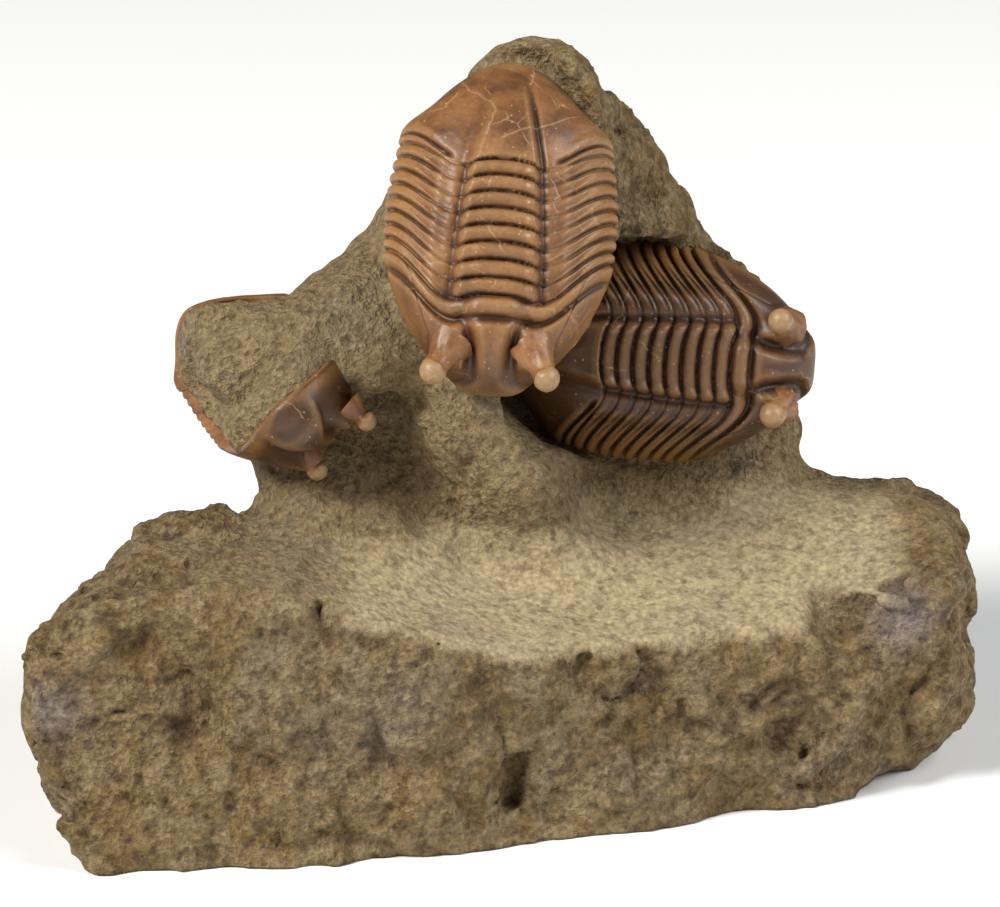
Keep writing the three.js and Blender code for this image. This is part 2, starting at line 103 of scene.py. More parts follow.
def cells(points, size, seed):
    # distance to the nearest of many scattered points, in cell widths, and a random value for it
    rng = np.random.default_rng(seed)
    jitter = rng.uniform(0.1, 0.9, (16, 16, 16, 3)).astype(np.float32)
    mark = rng.random((16, 16, 16)).astype(np.float32)
    cell = (points.astype(np.float32) @ turned.T) / size
    low = np.floor(cell).astype(np.int32)
    best = np.full(len(points), 9, np.float32)
    name = np.zeros(len(points), np.float32)
    for corner in np.ndindex(3, 3, 3):
        at = low + np.array(corner, np.int32) - 1
        i, j, k = (at & 15).T
        gap = np.linalg.norm(at + jitter[i, j, k] - cell, axis=1)
        nearer = gap < best
        best = np.where(nearer, gap, best)
        name = np.where(nearer, mark[i, j, k], name)
    return best, name


# the animals, in the forms of the solids; the curled one lies a few millimetres off its solid
animal = {
    "headLength": 23.5,
    "thoraxLength": 26.5,
    "tailLength": 31.0,
    "headHalfWidth": 24.0,
    "tailHalfWidth": 22.6,
    "thoraxBulge": 0.9,
    "archHeight": 14.0,
    "underside": 1.2,
    "segments": 8,
    "axisShare": 0.36,
    "ribSweep": (8.0, 10.0),  # how far the rib tips lean back, at the tail and at the head
    "ringArch": 1.5,  # how far the rings bow in the middle
    "earlyEnd": 0.7,  # the even rows start this far from the tips
    "endRows": (0.02, 0.07, 0.15, 0.28, 0.45),
    "rowStep": 0.27,
    "columns": 205,
    "underColumns": (0.97, 0.8, 0.3, -0.3, -0.8, -0.97),
}
eye = {
    "fromFront": 14.5,
    "out": 9.2,
    "radius": 2.75,
    "height": 2.4,
    "sunk": 2.2,  # how far the foot goes into the cheek
    "foot": ((-2.2, 4.6), (-0.6, 4.1), (0.8, 3.5), (1.9, 3.0), (2.6, 2.75)),  # height and radius up the stalk
    "neck": ((-1.5, 2.45), (-0.8, 2.52)),  # the same, below the middle of the ball
    "around": 48,
    "over": 24,
}
straight = {"tailHeight": 1.0, "eyeShift": 0.0, "flatAbove": 999, "bendHeight": 8, "bendMiddle": 36.7}
# the umber share of each is partly its own darker tone and partly painted shade, as the sideways one lies in
# the upright one's shadow
specimens = {
    "trilobite_upright": {
        **straight,
        "scale": 1.0,
        "place": (0, -4.3, 122.4),
        "tail": (0.07, 0.469, 0.883),
        "back": (0, -0.883, 0.469),
        "headRadius": 58,
        "tailRadius": 115,
        "eyeSpread": 11.7,
        "eyeForward": 3.0,
        "darkToneAndShade": 0.1,
    },
    "trilobite_sideways": {
        **straight,
        "scale": 0.97,
        "place": (36.5, 23, 87),
        "tail": (-0.996, 0, 0.087),
        "back": (0.02, -0.97, 0.242),
        "headRadius": 70,
        "tailRadius": 100,
        "eyeSpread": 10.4,
        "eyeForward": -2.4,
        "darkToneAndShade": 0.9,
    },
    "trilobite_curled": {
        "scale": 0.77,
        "place": (-46.6, 15.4, 84.6),
        "tail": (-0.473, 0.801, 0.367),
        "back": (0.535, 0.592, -0.603),
        "headRadius": 27.2,
        "tailRadius": 20.5,
        "eyeSpread": 9.6,
        "eyeForward": 0.5,
        "tailHeight": 0.5,
        "darkToneAndShade": 0.55,
        "eyeShift": -3.0,  # both its eyes are pushed to one side
        "flatAbove": 100.8,  # and its tail is pressed flat along the top
        "bendHeight": 5,
        "bendMiddle": 40,
    },
}
pressed = {"share": 0.93, "start": 1, "round": 9}  # how the curled tail is flattened where it is too high
thoraxStart = animal["headLength"]
tailStart = thoraxStart + animal["thoraxLength"]
bodyLength = tailStart + animal["tailLength"]
segmentPitch = animal["thoraxLength"] / animal["segments"]


def endTaper(share):
    return (1 - np.clip(share, 0, 1) ** 1.75) ** 0.68


def halfWidthAt(s):
    head = animal["headHalfWidth"] * endTaper((thoraxStart - s) / animal["headLength"])
    tail = animal["tailHalfWidth"] * endTaper((s - tailStart) / animal["tailLength"])
    along = np.clip((s - thoraxStart) / animal["thoraxLength"], 0, 1)
    widen = animal["tailHalfWidth"] - animal["headHalfWidth"]
    thorax = animal["headHalfWidth"] + widen * along + animal["thoraxBulge"] * np.sin(np.pi * along)
    return np.where(s < thoraxStart, head, np.where(s > tailStart, tail, thorax))


def archAt(s):
    brow, slopeLength = 20, animal["tailLength"] + 4
    front = (1 - np.clip((brow - s) / brow, 0, 1) ** 2.2) ** 0.6
    rear = (1 - np.clip((s - bodyLength + slopeLength) / slopeLength, 0, 1) ** 2) ** 0.75
    return animal["archHeight"] * front * rear


def archShape(r):
    return (1 - np.minimum(np.abs(r), 1) ** 2.7) ** 0.72


def sweepAt(s, r):
    out = 0.12 * np.abs(r) + 0.88 * ease(0.38, 1.02, np.abs(r))
    kept = ease(0, thoraxStart - 2, s) * (1 - ease(tailStart, tailStart + 20, s))
    atTail, atHead = animal["ribSweep"]
    forward = np.clip((tailStart - s) / animal["thoraxLength"], 0, 1)
    return (atTail + (atHead - atTail) * forward) * out * kept


def axisShareAt(s):
    return animal["axisShare"] - 0.05 * np.clip((s - thoraxStart) / animal["thoraxLength"], 0, 1)


def bentRow(s, r):
    # the rings arch back a little in the middle, so rows are read a little further forward there
    arch = np.maximum(0, 1 - (r / axisShareAt(s)) ** 2)
    return s - animal["ringArch"] * arch * ease(12, 20, s) * (1 - ease(tailStart + 2, tailStart + 9, s))


def headRelief(s, x):
    # each line is one form: its height, then where it lies and how wide it is
    across = np.abs(x)
    toThorax = thoraxStart - s
    toEye = s - 13.2
    lobe = 3.5 + 2.4 * bell(toThorax - 2.5, 4.0) + 5.5 * ease(9, 2, s)
    glabella = 2.0 * (1 - ease(lobe - 2.4, lobe + 1.6, across)) * ease(0, 5, s)
    glabella = glabella + 0.5 * bell(np.hypot(across - 2.2, s - 15.5), 2.0)
    besideLobe = -2.1 * bell(across - lobe - 0.6, 1.5) * bell(toEye - 0.6, 4.6)
    eyePad = 3.9 * bell(np.hypot((across - 8.6) * 0.95, toEye + 0.4), 3.3)
    knob = 0.9 * bell(np.hypot(across - 7.2, toEye - 3.4), 1.5)
    cheek = 0.9 * bell(across - 15.5, 3.2) * bell(toEye - 3.5, 4.5)
    suture = -0.4 * bell(across - 13.2 - 0.55 * np.maximum(0, toEye), 0.3) * ease(-6, -2, toEye)
    hindBorder = -1.7 * bell(toThorax - 4.2, 0.85) * (1 - 0.45 * bell(across - lobe, 1.5))
    borderRoll = 0.9 * bell(toThorax - 1.9, 1.35)
    occipital = -1.1 * bell(toThorax - 0.1, 0.42)
    rim = -0.5 * bell(s - 2.6, 0.9)
    parts = glabella + besideLobe + eyePad + knob + cheek + suture
    return parts + hindBorder + borderRoll + occipital + rim


def thoraxRelief(s, r):
    phase = (s - thoraxStart) / segmentPitch
    share = axisShareAt(s)
    part = phase - np.floor(phase)  # 0 at the front edge of a segment, 1 at its hind edge
    toFurrow = np.minimum(part, 1 - part) * segmentPitch
    out = np.abs(r)
    onRing = 1 - ease(share - 0.02, share + 0.05, out)
    inner = 1 - ease(0.54, 0.68, out)
    round2 = np.sqrt(np.maximum(0, 1 - np.abs(1 - 2 * np.minimum(part, 1 - part)) ** 2.1)) - 1
    round3 = np.sqrt(np.maximum(0, 1 - np.abs(1 - 2 * np.minimum(part, 1 - part)) ** 2.8)) - 1
    ring = 1.5 * round2 - 0.6 * bell(toFurrow, 0.3) + 0.35 * (part - 0.5) * (1 - bell(toFurrow, 0.4))
    ring = ring + 0.6 * bell(out - share + 0.05, 0.05) * (round2 + 1)
    seam = -(0.28 + 0.85 * (1 - inner)) * bell(toFurrow, 0.28 + 0.2 * (1 - inner))
    middle = 0.28 + 0.42 * ease(0.42, 0.95, out)  # the slanting furrow that splits each rib
    slant = (0.12 + 0.55 * bell(out - 0.66, 0.13)) * (1 - ease(0.84, 0.96, out))
    slant = -slant * bell((part - middle) * segmentPitch, 0.5)
    rib = round3 * (0.22 + 0.95 * (1 - inner)) + seam + slant + 0.55 * bell(out - 0.57, 0.06) * (round3 + 1)
    lobe = 1.75 * (1 - ease(share - 0.05, share + 0.05, out))
    lobeEdge = -0.85 * bell(out - share - 0.03, 0.05)
    return onRing * ring + (1 - onRing) * rib + lobe + lobeEdge


def tailRelief(s, x, r):
    along = (s - tailStart) / animal["tailLength"]
    lobe = 7.2 - 6.0 * along
    kept = 1 - ease(0.42, 0.8, along)
    slope = np.where(x > 0, 0.9, 1.9)  # the ridge is sharp on one flank and soft on the other
    ridge = 2.1 * (1 - ease(-slope, slope, np.abs(x) - lobe)) * kept
    besideRidge = -np.where(x > 0, 0.9, 0.4) * bell(np.abs(x) - lobe - 0.8, slope) * kept
    out = np.abs(r)
    firstRib = -1.6 * bell(s - tailStart - 1.2 - 1.3 * ease(0.4, 1, out), 0.5) * ease(0.44, 0.56, out)
    facet = 0.5 * bell(s - tailStart - 3.4 - 1.5 * ease(0.4, 1, out), 1.3) * ease(0.5, 0.8, out)
    return ridge + besideRidge + firstRib + facet


def backHeight(s, r):
    x = r * halfWidthAt(s)
    row = bentRow(s, r)
    inThorax = ease(thoraxStart - 0.3, thoraxStart, row) * (1 - ease(tailStart, tailStart + 0.4, row))
    relief = inThorax * thoraxRelief(row, r)
    relief = relief + np.where(row < thoraxStart, (1 - inThorax) * headRelief(row, x), 0)
    relief = relief + np.where(row > tailStart, (1 - inThorax) * tailRelief(row, x, r), 0)
    towardsMargin = 1 - 0.5 * ease(0.9, 1, np.abs(r))
    towardsEnds = ease(0, 3, s) * ease(0, 3, bodyLength - s)
    return archAt(s) * archShape(r) + relief * towardsMargin * towardsEnds


def specimenFrame(specimen):
    tail = unit(specimen["tail"])
    back = np.array(specimen["back"], float)
    back = unit(back - tail * back.dot(tail))
    return {**specimen, "tail": tail, "back": back, "across": np.cross(tail, back)}


def toWorld(f, x, s, z):
    radius = np.where(s < f["bendMiddle"], f["headRadius"], f["tailRadius"])
    turn = (s - f["bendMiddle"]) * f["scale"] / radius
    reach = radius + (z - f["bendHeight"]) * f["scale"]
    points = (
        np.array(f["place"], float)
        + (x * f["scale"])[..., None] * f["across"]
        + (reach * np.sin(turn))[..., None] * f["tail"]
        + (reach * np.cos(turn) - radius)[..., None] * f["back"]
    )
    level = softMin(points[..., 2], f["flatAbove"] + pressed["start"], pressed["round"])
    points[..., 2] -= pressed["share"] * (points[..., 2] - level)
    return points


def toBody(f, points):
    d = points - np.array(f["place"], np.float32)
    along = d @ f["tail"]
    radius = np.where(along < 0, f["headRadius"], f["tailRadius"])
    up = d @ f["back"] + radius
    return {
        "x": (d @ f["across"]) / f["scale"],
        "s": np.arctan2(along, up) * radius / f["scale"] + f["bendMiddle"],
        "z": (np.hypot(along, up) - radius) / f["scale"] + f["bendHeight"],
        "along": along,
        "up": up,
    }


def newPiece(name, points, faces, values=None):
    # a smooth-shaded mesh from millimetre points, arrays of faces and named per-point values
    mesh = bpy.data.meshes.new(name)
    mesh.vertices.add(len(points))
    mesh.vertices.foreach_set("co", (np.asarray(points, np.float32) * mm).ravel())
    faces = [np.asarray(part, np.int32) for part in faces]
    sizes = np.concatenate([np.full(len(part), part.shape[1], np.int32) for part in faces])
    corners = np.concatenate([part.ravel() for part in faces])
    mesh.loops.add(len(corners))
    mesh.loops.foreach_set("vertex_index", corners)
    mesh.polygons.add(len(sizes))
    starts = np.concatenate([[0], np.cumsum(sizes)[:-1]]).astype(np.int32)
    mesh.polygons.foreach_set("loop_start", starts)
    mesh.polygons.foreach_set("use_smooth", np.ones(len(sizes), bool))
    mesh.update(calc_edges=True)
    mesh.validate()
    piece = bpy.data.objects.new(name, mesh)
    bpy.context.scene.collection.objects.link(piece)
    setValues(piece, values or {})
    return piece


def setValues(piece, values):
    for name, value in values.items():
        layer = piece.data.attributes.get(name) or piece.data.attributes.new(name, "FLOAT", "POINT")
        layer.data.foreach_set("value", np.asarray(value, np.float32).ravel())


def linear(hexColour):
    # sRGB hex to the linear colour that the shader takes
    parts = [int(hexColour[i : i + 2], 16) / 255 for i in (1, 3, 5)]
    return tuple(c / 12.92 if c <= 0.04045 else ((c + 0.055) / 1.055) ** 2.4 for c in parts) + (1,)


def newMaterial(name):
    material = bpy.data.materials.new(name)
    material.use_nodes = True
    tree = material.node_tree
    tree.nodes.clear()
    return material, tree


def add(tree, kind, settings=None, links=None):
    # one new node: its options and socket values, then the nodes or outputs that feed it
    node = tree.nodes.new("ShaderNode" + kind)
    for name, value in (settings or {}).items():
        if isinstance(name, str) and hasattr(node, name):
            setattr(node, name, value)
        else:
            node.inputs[name].default_value = value
    for name, source in (links or {}).items():
        tree.links.new(getattr(source, "outputs", [source])[0], node.inputs[name])
    return node


def readNodes(tree, marks):
    # where a point lies on the piece, and its named values
    where = add(tree, "TexCoord").outputs["Object"]
    part = {name: add(tree, "Attribute", {"attribute_name": name}).outputs["Fac"] for name in marks}
    return where, part


def cloudNode(tree, where, size, detail, rough=0.66):
    # soft random pattern whose largest forms are about size millimetres
    settings = {"Scale": 1 / (size * mm), "Detail": detail, "Roughness": rough}
    return add(tree, "TexNoise", settings, {"Vector": where})


def crookedNode(tree, where, sway, rough):
    # the same places moved about at random, so that edges drawn there run crooked
    size, reach = sway
    moved = cloudNode(tree, where, size, 3.0, rough).outputs["Color"]
    moved = add(tree, "VectorMath", {"operation": "SCALE", "Scale": reach * mm}, {0: moved})
    return add(tree, "VectorMath", {"operation": "ADD"}, {0: where, 1: moved})


def rangeNode(tree, source, low, high, toLow, toHigh):
    # from low to high at the source becomes from toLow to toHigh, and no further
    settings = {"From Min": low, "From Max": high, "To Min": toLow, "To Max": toHigh}
    return add(tree, "MapRange", settings, {"Value": source})


def layerNode(tree, colour, share, hexColour):
    return add(tree, "MixRGB", {"Color2": linear(hexColour)}, {"Fac": share, "Color1": colour})


def shadeNode(tree, colour, shade, share):
    settings = {"blend_type": "MULTIPLY", "Fac": share}
    return add(tree, "MixRGB", settings, {"Color1": colour, "Color2": shade})


# in both looks a range is four numbers: from low, from high, to low, to high
shellLook = {
    # the umber, darkest brown and olive colours also paint shade, and the pale worn colour also paints
    # highlights on the crests
    "caramel": "#8A5D35",
    "chestnut": "#613E22",
    "umber": "#3C2110",
    "paleToneAndCrestHighlight": "#9C7549",
    "deepFurrowShade": "#2E180B",
    "thinEdge": "#97692F",
    "frontShadeOlive": "#3F2E17",
    "eye": "#A0815B",
    "healed": "#CDAA78",  # calcite in old cracks
    "cloudSize": 9.0,
    "grainSize": 1.0,  # the real grain is nearer 0.2 and would not show
    "crackCell": 17.0,
    "crackSway": (5.0, 3.5),  # size and reach of the crooks
    "crackPatch": 7.0,
    "crackDepth": 0.12,
    "crackWidth": (0.002, 0.009, 1.0, 0.0),
    "crackShare": (0.48, 0.6, 0.0, 0.6),
    "speckCell": 1.5,
    "speckWidth": (0.08, 0.18, 0.7, 0.0),
    "dentSize": 2.6,
    "dentDepth": 0.4,
    "mottle": (0.3, 0.7, 0.8, 1.1),
    "gloss": (0.0, 1.0, 0.34, 0.58),
}


def shellMaterial():
    # fossil calcite shell, scraped and abraded clean, then waxed: brown, a little translucent, half gloss
    look = shellLook
    material, tree = newMaterial("waxedCalciteShell")
    where, part = readNodes(tree, ("darkToneAndShade", "furrow", "crest", "edge", "front", "eye", "seam"))
    grain = cloudNode(tree, where, look["grainSize"], 4.0, 0.7)
    cloud = cloudNode(tree, where, look["cloudSize"], 5.0, 0.62)
    colour = add(tree, "ValToRGB", None, {"Fac": cloud})
    stops = colour.color_ramp.elements
    stops[0].position, stops[0].color = 0.34, linear(look["chestnut"])
    stops[1].position, stops[1].color = 0.56, linear(look["caramel"])
    stops.new(0.74).color = linear(look["paleToneAndCrestHighlight"])

    # healed cracks run between crooked cells, and only in patches
    crooked = crookedNode(tree, where, look["crackSway"], 0.5)
    edges = {"feature": "DISTANCE_TO_EDGE", "Scale": 1 / (look["crackCell"] * mm)}
    net = add(tree, "TexVoronoi", edges, {"Vector": crooked})
    line = rangeNode(tree, net, *look["crackWidth"])
    patchy = cloudNode(tree, where, look["crackPatch"], 3.0, 0.5)
    patch = rangeNode(tree, patchy, *look["crackShare"])
    crack = add(tree, "Math", {"operation": "MULTIPLY"}, {0: line, 1: patch})
    crack = add(tree, "Math", {"operation": "MAXIMUM"}, {0: crack, 1: part["seam"]})

    dots = add(tree, "TexVoronoi", {"Scale": 1 / (look["speckCell"] * mm)}, {"Vector": where})
    dot = rangeNode(tree, dots, *look["speckWidth"])
    split = add(tree, "SeparateColor", None, {0: dots.outputs["Color"]})
    few = add(tree, "Math", {"operation": "GREATER_THAN", 1: 0.5}, {0: split})
    speck = add(tree, "Math", {"operation": "MULTIPLY"}, {0: dot, 1: few})

    # painted shade: the umber share (partly the animals' own tone), the olive front of the head and the
    # darkest brown in the furrows; painted highlight: the paler tone on the crests
    layers = [
        (part["darkToneAndShade"], "umber", 0.85),
        (part["crest"], "paleToneAndCrestHighlight", 0.5),
        (part["edge"], "thinEdge", 0.55),
        (part["front"], "frontShadeOlive", 0.4),
        (part["eye"], "eye", 0.8),
        (part["furrow"], "deepFurrowShade", 0.7),
        (crack, "healed", 0.5),
        (speck, "healed", 0.8),
    ]
    for mask, name, most in layers:
        colour = layerNode(tree, colour, rangeNode(tree, mask, 0, 1, 0, most), look[name])
    colour = shadeNode(tree, colour, rangeNode(tree, grain, *look["mottle"]), 1.0)

    wavy = cloudNode(tree, where, look["dentSize"], 4.0, 0.6)
    dented = add(tree, "Bump", {"Strength": 0.5, "Distance": look["dentDepth"] * mm}, {"Height": wavy})
    sunk = {"Strength": 0.5, "Distance": look["crackDepth"] * mm, "invert": True}
    cut = add(tree, "Bump", sunk, {"Height": crack, "Normal": dented})
    gloss = rangeNode(tree, grain, *look["gloss"])
    surface = {
        "IOR": 1.5,
        "Subsurface Weight": 0.1,
        "Subsurface Radius": (1.0, 0.45, 0.2),
        "Subsurface Scale": 1.0 * mm,
        "Coat Weight": 0.08,
        "Coat Roughness": 0.35,
    }
    inputs = {"Base Color": colour, "Roughness": gloss, "Normal": cut}
    shader = add(tree, "BsdfPrincipled", surface, inputs)
    add(tree, "OutputMaterial", None, {"Surface": shader})
    return material


def gridFaces(rows, columns, first=0, closed=False):
    i, j = np.meshgrid(np.arange(rows - 1), np.arange(columns if closed else columns - 1), indexing="ij")
    k = (j + 1) % columns
    this, following = i * columns, (i + 1) * columns
    quad = np.stack([this + j, this + k, following + k, following + j], -1)
    return quad.reshape(-1, 4) + first


def eyeRings(f, side):
    # a stubby stalk with a round top that leans outwards and forwards from the cheek
    root, out = np.array(eye["fromFront"] - 0.5), eye["out"]
    base = float(backHeight(root, np.array(out / halfWidthAt(root)))) - eye["sunk"]
    foot = toWorld(f, np.array(side * out + f["eyeShift"]), root, np.array(base))
    tip = base + eye["sunk"] + eye["height"]
    top = toWorld(f, np.array(side * f["eyeSpread"] + f["eyeShift"]), root - f["eyeForward"], np.array(tip))
    axis = unit(top - foot)
    reach = np.linalg.norm(top - foot) / f["scale"]
    ball = eye["radius"]
    stem = [*eye["foot"], *[(reach + up, radius) for up, radius in eye["neck"]]]
    turn = np.linspace(-0.2, 1.0, eye["over"]) * math.pi / 2
    profile = np.array(stem + [(reach + ball * math.sin(a), max(ball * math.cos(a), 1e-3)) for a in turn])
    sideways = unit(np.cross(axis, (0.3, 0.2, 0.9)))
    other = np.cross(axis, sideways)
    angle = np.linspace(0, 2 * math.pi, eye["around"], endpoint=False)
    ring = np.cos(angle)[:, None] * sideways + np.sin(angle)[:, None] * other
    lift = profile[:, 0] * f["scale"]
    points = foot + lift[:, None, None] * axis + (profile[:, 1] * f["scale"])[:, None, None] * ring
    points = points.reshape(-1, 3)
    onBall = np.repeat(ease(reach - 1.6, reach + 0.8, profile[:, 0]), eye["around"])
    knobs = (0.5 * noise(points, 2.1, 81) + 0.25 * noise(points, 1.1, 82)) * (1 - onBall) * f["scale"]
    points = points + knobs[:, None] * np.tile(ring, (len(profile), 1))
    return points, gridFaces(len(profile), eye["around"], closed=True), onBall


def blurred(height, rows, columns):
    # mean over a window of the grid, to tell furrows from crests
    for reach, side in ((rows, 0), (columns, 1)):
        wide = [(0, 0), (0, 0)]
        wide[side] = (reach + 1, reach)
        total = np.cumsum(np.pad(height, wide, mode="edge"), axis=side)
        upper = np.take(total, range(2 * reach + 1, total.shape[side]), axis=side)
        lower = np.take(total, range(0, total.shape[side] - 2 * reach - 1), axis=side)
        height = (upper - lower) / (2 * reach + 1)
    return height


# pale healed cracks on the upright animal, as (across, along) on its back
crackLines = [
    [(-10.7, 73.5), (-8.8, 68.3), (-6.5, 67.2), (-3.3, 63.6), (-2.8, 61.9), (-4.1, 56.1)],
    [(-11.1, 68.2), (-13.3, 63.0), (-16.8, 61.4), (-19.2, 59.1)],
    [(4.2, 77.0), (4.5, 74.8), (4.0, 71.0)],
    [(-0.9, 55.6), (1.9, 57.2), (5.7, 58.7), (10.8, 61.2), (14.7, 63.2)],
    [(-18.2, 20.3), (-17.1, 22.5), (-20.4, 24.2)],
    [(-16.2, 19.3), (-12.8, 19.2), (-8.3, 19.4)],
    [(9.6, 31.6), (12.7, 32.0), (15.2, 31.5), (20.2, 32.0)],
    [(-6.5, 15.8), (-5.8, 13.5), (-6.3, 10.2)],
    [(13.5, 20.6), (16.5, 16.0), (17.5, 12.0)],
    [(20.5, 33.4), (18.9, 36.4), (18.5, 38.3)],
]


def pathDistance(points, path):
    nearest = np.linalg.norm(points - np.array(path[0], np.float32), axis=-1)
    for a, b in zip(path, path[1:]):
        a, b = np.array(a, np.float32), np.array(b, np.float32)
        t = np.clip((points - a) @ (b - a) / ((b - a) @ (b - a)), 0, 1)
        nearest = np.minimum(nearest, np.linalg.norm(points - a - t[..., None] * (b - a), axis=-1))
    return nearest


def trilobite(name, material):
    f = specimenFrame(specimens[name])
    ends, early = np.array(animal["endRows"]), animal["earlyEnd"]
    count = int(bodyLength / animal["rowStep"])
    rows = np.concatenate([ends, np.linspace(early, bodyLength - early, count), bodyLength - ends[::-1]])
    u = np.linspace(-1, 1, animal["columns"])
    s, r = np.meshgrid(rows, u * (1.22 - 0.22 * u * u), indexing="ij")
    wide = halfWidthAt(s)
    phase = (s - thoraxStart) / segmentPitch
    inThorax = ease(thoraxStart - 1, thoraxStart, s) * (1 - ease(tailStart, tailStart + 1, s))
    notch = (1 - 2 * np.abs(phase - np.round(phase))) ** 3
    trimmed = wide * (1 - 0.05 * inThorax * notch * ease(0.8, 1, np.abs(r)))
    z = backHeight(s, r)
    flat = np.stack([r * wide, s, z], -1).reshape(-1, 3)
    uneven = (0.2 * noise(flat, 7, 5) + 0.1 * noise(flat, 2.6, 6)).reshape(z.shape)
    swell = uneven * archShape(r) * ease(0, 4, s)
    sweep = sweepAt(s, r)
    z = z * (1 - (1 - f["tailHeight"]) * ease(40, 62, s))
    top = toWorld(f, r * trimmed, s + sweep, z + swell)
    under = np.array(animal["underColumns"])
    su, ru = np.meshgrid(rows, under, indexing="ij")
    below = toWorld(f, ru * halfWidthAt(su), su + sweepAt(su, ru), np.full_like(su, -animal["underside"]))
    ring = np.concatenate([top, below], 1)
    columns = ring.shape[1]
    points = [ring.reshape(-1, 3)]
    for end in (0.0, bodyLength):
        points.append(toWorld(f, np.zeros(1), np.array([end]), np.array([-0.4])))
    tip = len(rows) * columns
    j = np.arange(columns)
    k = (j + 1) % columns
    last = (len(rows) - 1) * columns
    firstCap = np.stack([np.full(columns, tip), k, j], 1)
    lastCap = np.stack([np.full(columns, tip + 1), last + j, last + k], 1)

    hollow = blurred(z, 6, 5) - z
    awayFromEnds = ease(0.5, 4, s) * ease(0.5, 4, bodyLength - s)
    row = bentRow(s, r)
    phase = (row - thoraxStart) / segmentPitch
    toFurrow = np.abs(phase - np.round(phase)) * segmentPitch
    patchy = ease(-0.1, 0.5, noise(flat, 6, 7)).reshape(z.shape)
    seam = bell(toFurrow, 0.2) * inThorax * ease(0.38, 0.44, np.abs(r)) * patchy * 0.7
    if name == "trilobite_upright":
        wobble = 0.35 * noise(flat, 1.6, 8).reshape(z.shape)
        spots = np.stack([r * wide + wobble, s], -1)
        nearest = np.minimum.reduce([pathDistance(spots, line) for line in crackLines])
        seam = np.maximum(seam, 0.8 * bell(nearest, 0.15))
    values = {
        # painted shade in the furrows
        "furrow": np.clip(hollow / 0.55, 0, 1) * awayFromEnds,
        # painted highlight on the crests
        "crest": np.clip(-hollow / 0.5, 0, 1),
        "edge": np.clip(ease(0.86, 1, np.abs(r)) + 0.6 * inThorax * ease(0.6, 0.85, np.abs(r)), 0, 1),
        # painted shade on the front of the head
        "front": (1 - ease(2.5, 6.5, s)) * (1 - ease(10, 14, np.abs(r * wide))),
        "eye": np.zeros_like(z),
        "seam": seam,
        # umber share: partly the animal's own tone, partly painted shade, more of it on the head
        "darkToneAndShade": f["darkToneAndShade"] + 0.55 * (1 - ease(8, 20, s)) + 0 * r,
    }
    pad = np.zeros((len(rows), len(under)))
    for key, value in values.items():
        values[key] = np.concatenate([np.concatenate([value, pad], 1).ravel(), [0, 0]])
    faces = [gridFaces(len(rows), columns, closed=True), np.concatenate([firstCap, lastCap])]
    total = tip + 2
    for side in (-1, 1):
        eyePoints, eyeFaces, onBall = eyeRings(f, side)
        points.append(eyePoints)
        faces[0] = np.concatenate([faces[0], eyeFaces + total])
        total += len(eyePoints)
        for key in values:
            onEye = onBall if key == "eye" else np.zeros(len(eyePoints))
            values[key] = np.concatenate([values[key], onEye])
    piece = newPiece(name + "_shell", np.concatenate(points), faces, values)
    piece.data.materials.append(material)
    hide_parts(name)
    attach(piece, "root")
    print(name, "made with", len(piece.data.polygons), "faces")


# the block, from the faces, masses and hollows of the solid; the last two masses are only in the scene
block = {
    "step": 0.9,
    "quickStep": 1.9,
    "inside": 0.05,  # how far it stays inside the box of the solids
    "low": (-108, -66, -4),
    "high": (110, 70, 162),
    "mostTriangles": 196000,
    "carveBand": 5,  # only this near the surface is the stone carved
    "topLean": 0.92,
    "massSwell": 0.6,
    "soft": {"top": 10, "faces": 5, "masses": 10, "plinth": 6, "clearing": 3, "lobe": 2, "chip": 1.5},
    "basin": {"floor": 40.5, "rimY": -34, "dish": 0.004, "soft": 6},
    "bank": {"fromX": 62, "rise": 0.008, "top": 51},  # where the basin climbs to the right
    "shelf": {"height": 55.5, "frontY": -42, "backRise": 0.07, "dropX": -42, "drop": 0.33},
    "plinth": {"depth": 26, "inset": 2, "spread": 0.25, "soft": (3, 2)},
    "clearing": {"margin": 2.5, "height": 30, "below": 0.6, "soft": (4, 3)},
    "lobe": {"soft": 2, "inset": 0.4, "headInset": 4, "headFrom": 48, "headTo": 30, "topSpare": 0.3},
    "lobeFace": {"at": 4.2, "tilt": -0.27, "rimDepth": 0.5, "middleDepth": 9, "halfWidth": 24},
    "around": {"plinth": (56, 62, 56), "clearing": (62, 62, 62), "lobe": (34, 34, 34), "lobeBehind": 20},
}
frontLeft = ((-66, -50.5, 0), (0.02, -0.978, 0.2))
frontRight = ((8, -36, 0), (0.281, -0.957, 0.06))
otherFaces = [
    ((83, -6, 5), (0.62, -0.45, -0.64)),
    ((99, 20, 40), (0.99, -0.05, 0.08)),
    ((0, 57, 20), (0.02, 0.98, 0.17)),
    ((-88, -36, 0), (-0.9, -0.26, -0.35)),
    ((-97, 0, 26), (-1, 0.04, 0)),
    ((-95.5, 0, 35), (-0.62, 0.25, 0.74)),
    ((-88, 44, 10), (-0.6, 0.78, 0.1)),
    ((92, 48, 20), (0.6, 0.78, 0.1)),
]
backSlope = ((0, 0, 65.5), (-0.087, 0.5, 1))
masses = [  # from, its radius, to, its radius
    ((-6, 38, 30), 26, (7.5, 28, 139), 16.5),
    ((-12, 26, 48), 22, (-1, 27, 116), 20),
    ((-4, 28, 116), 15, (-40, 26, 78), 17),
    ((21, 34, 124), 14, (47, 44, 62), 19),
    ((8, 42, 50), 16, (40, 42, 60), 16),
    ((52, 36, 36), 20, (86, 30, 36), 14),
    ((-6, 12, 72), 9, (16, 6, 42), 9),
    ((-30, 3, 42), 18, (-38, 14, 60), 13),
    ((-56, 9, 90), 8, (-34, 18, 94), 11),
    ((-72, 0, 50), 6, (-64, 0, 51), 6),
    ((-42, 9, 90), 9, (-27, 12, 94), 12),
    ((-7, 5, 83), 5, (5, 3, 66), 5),
]
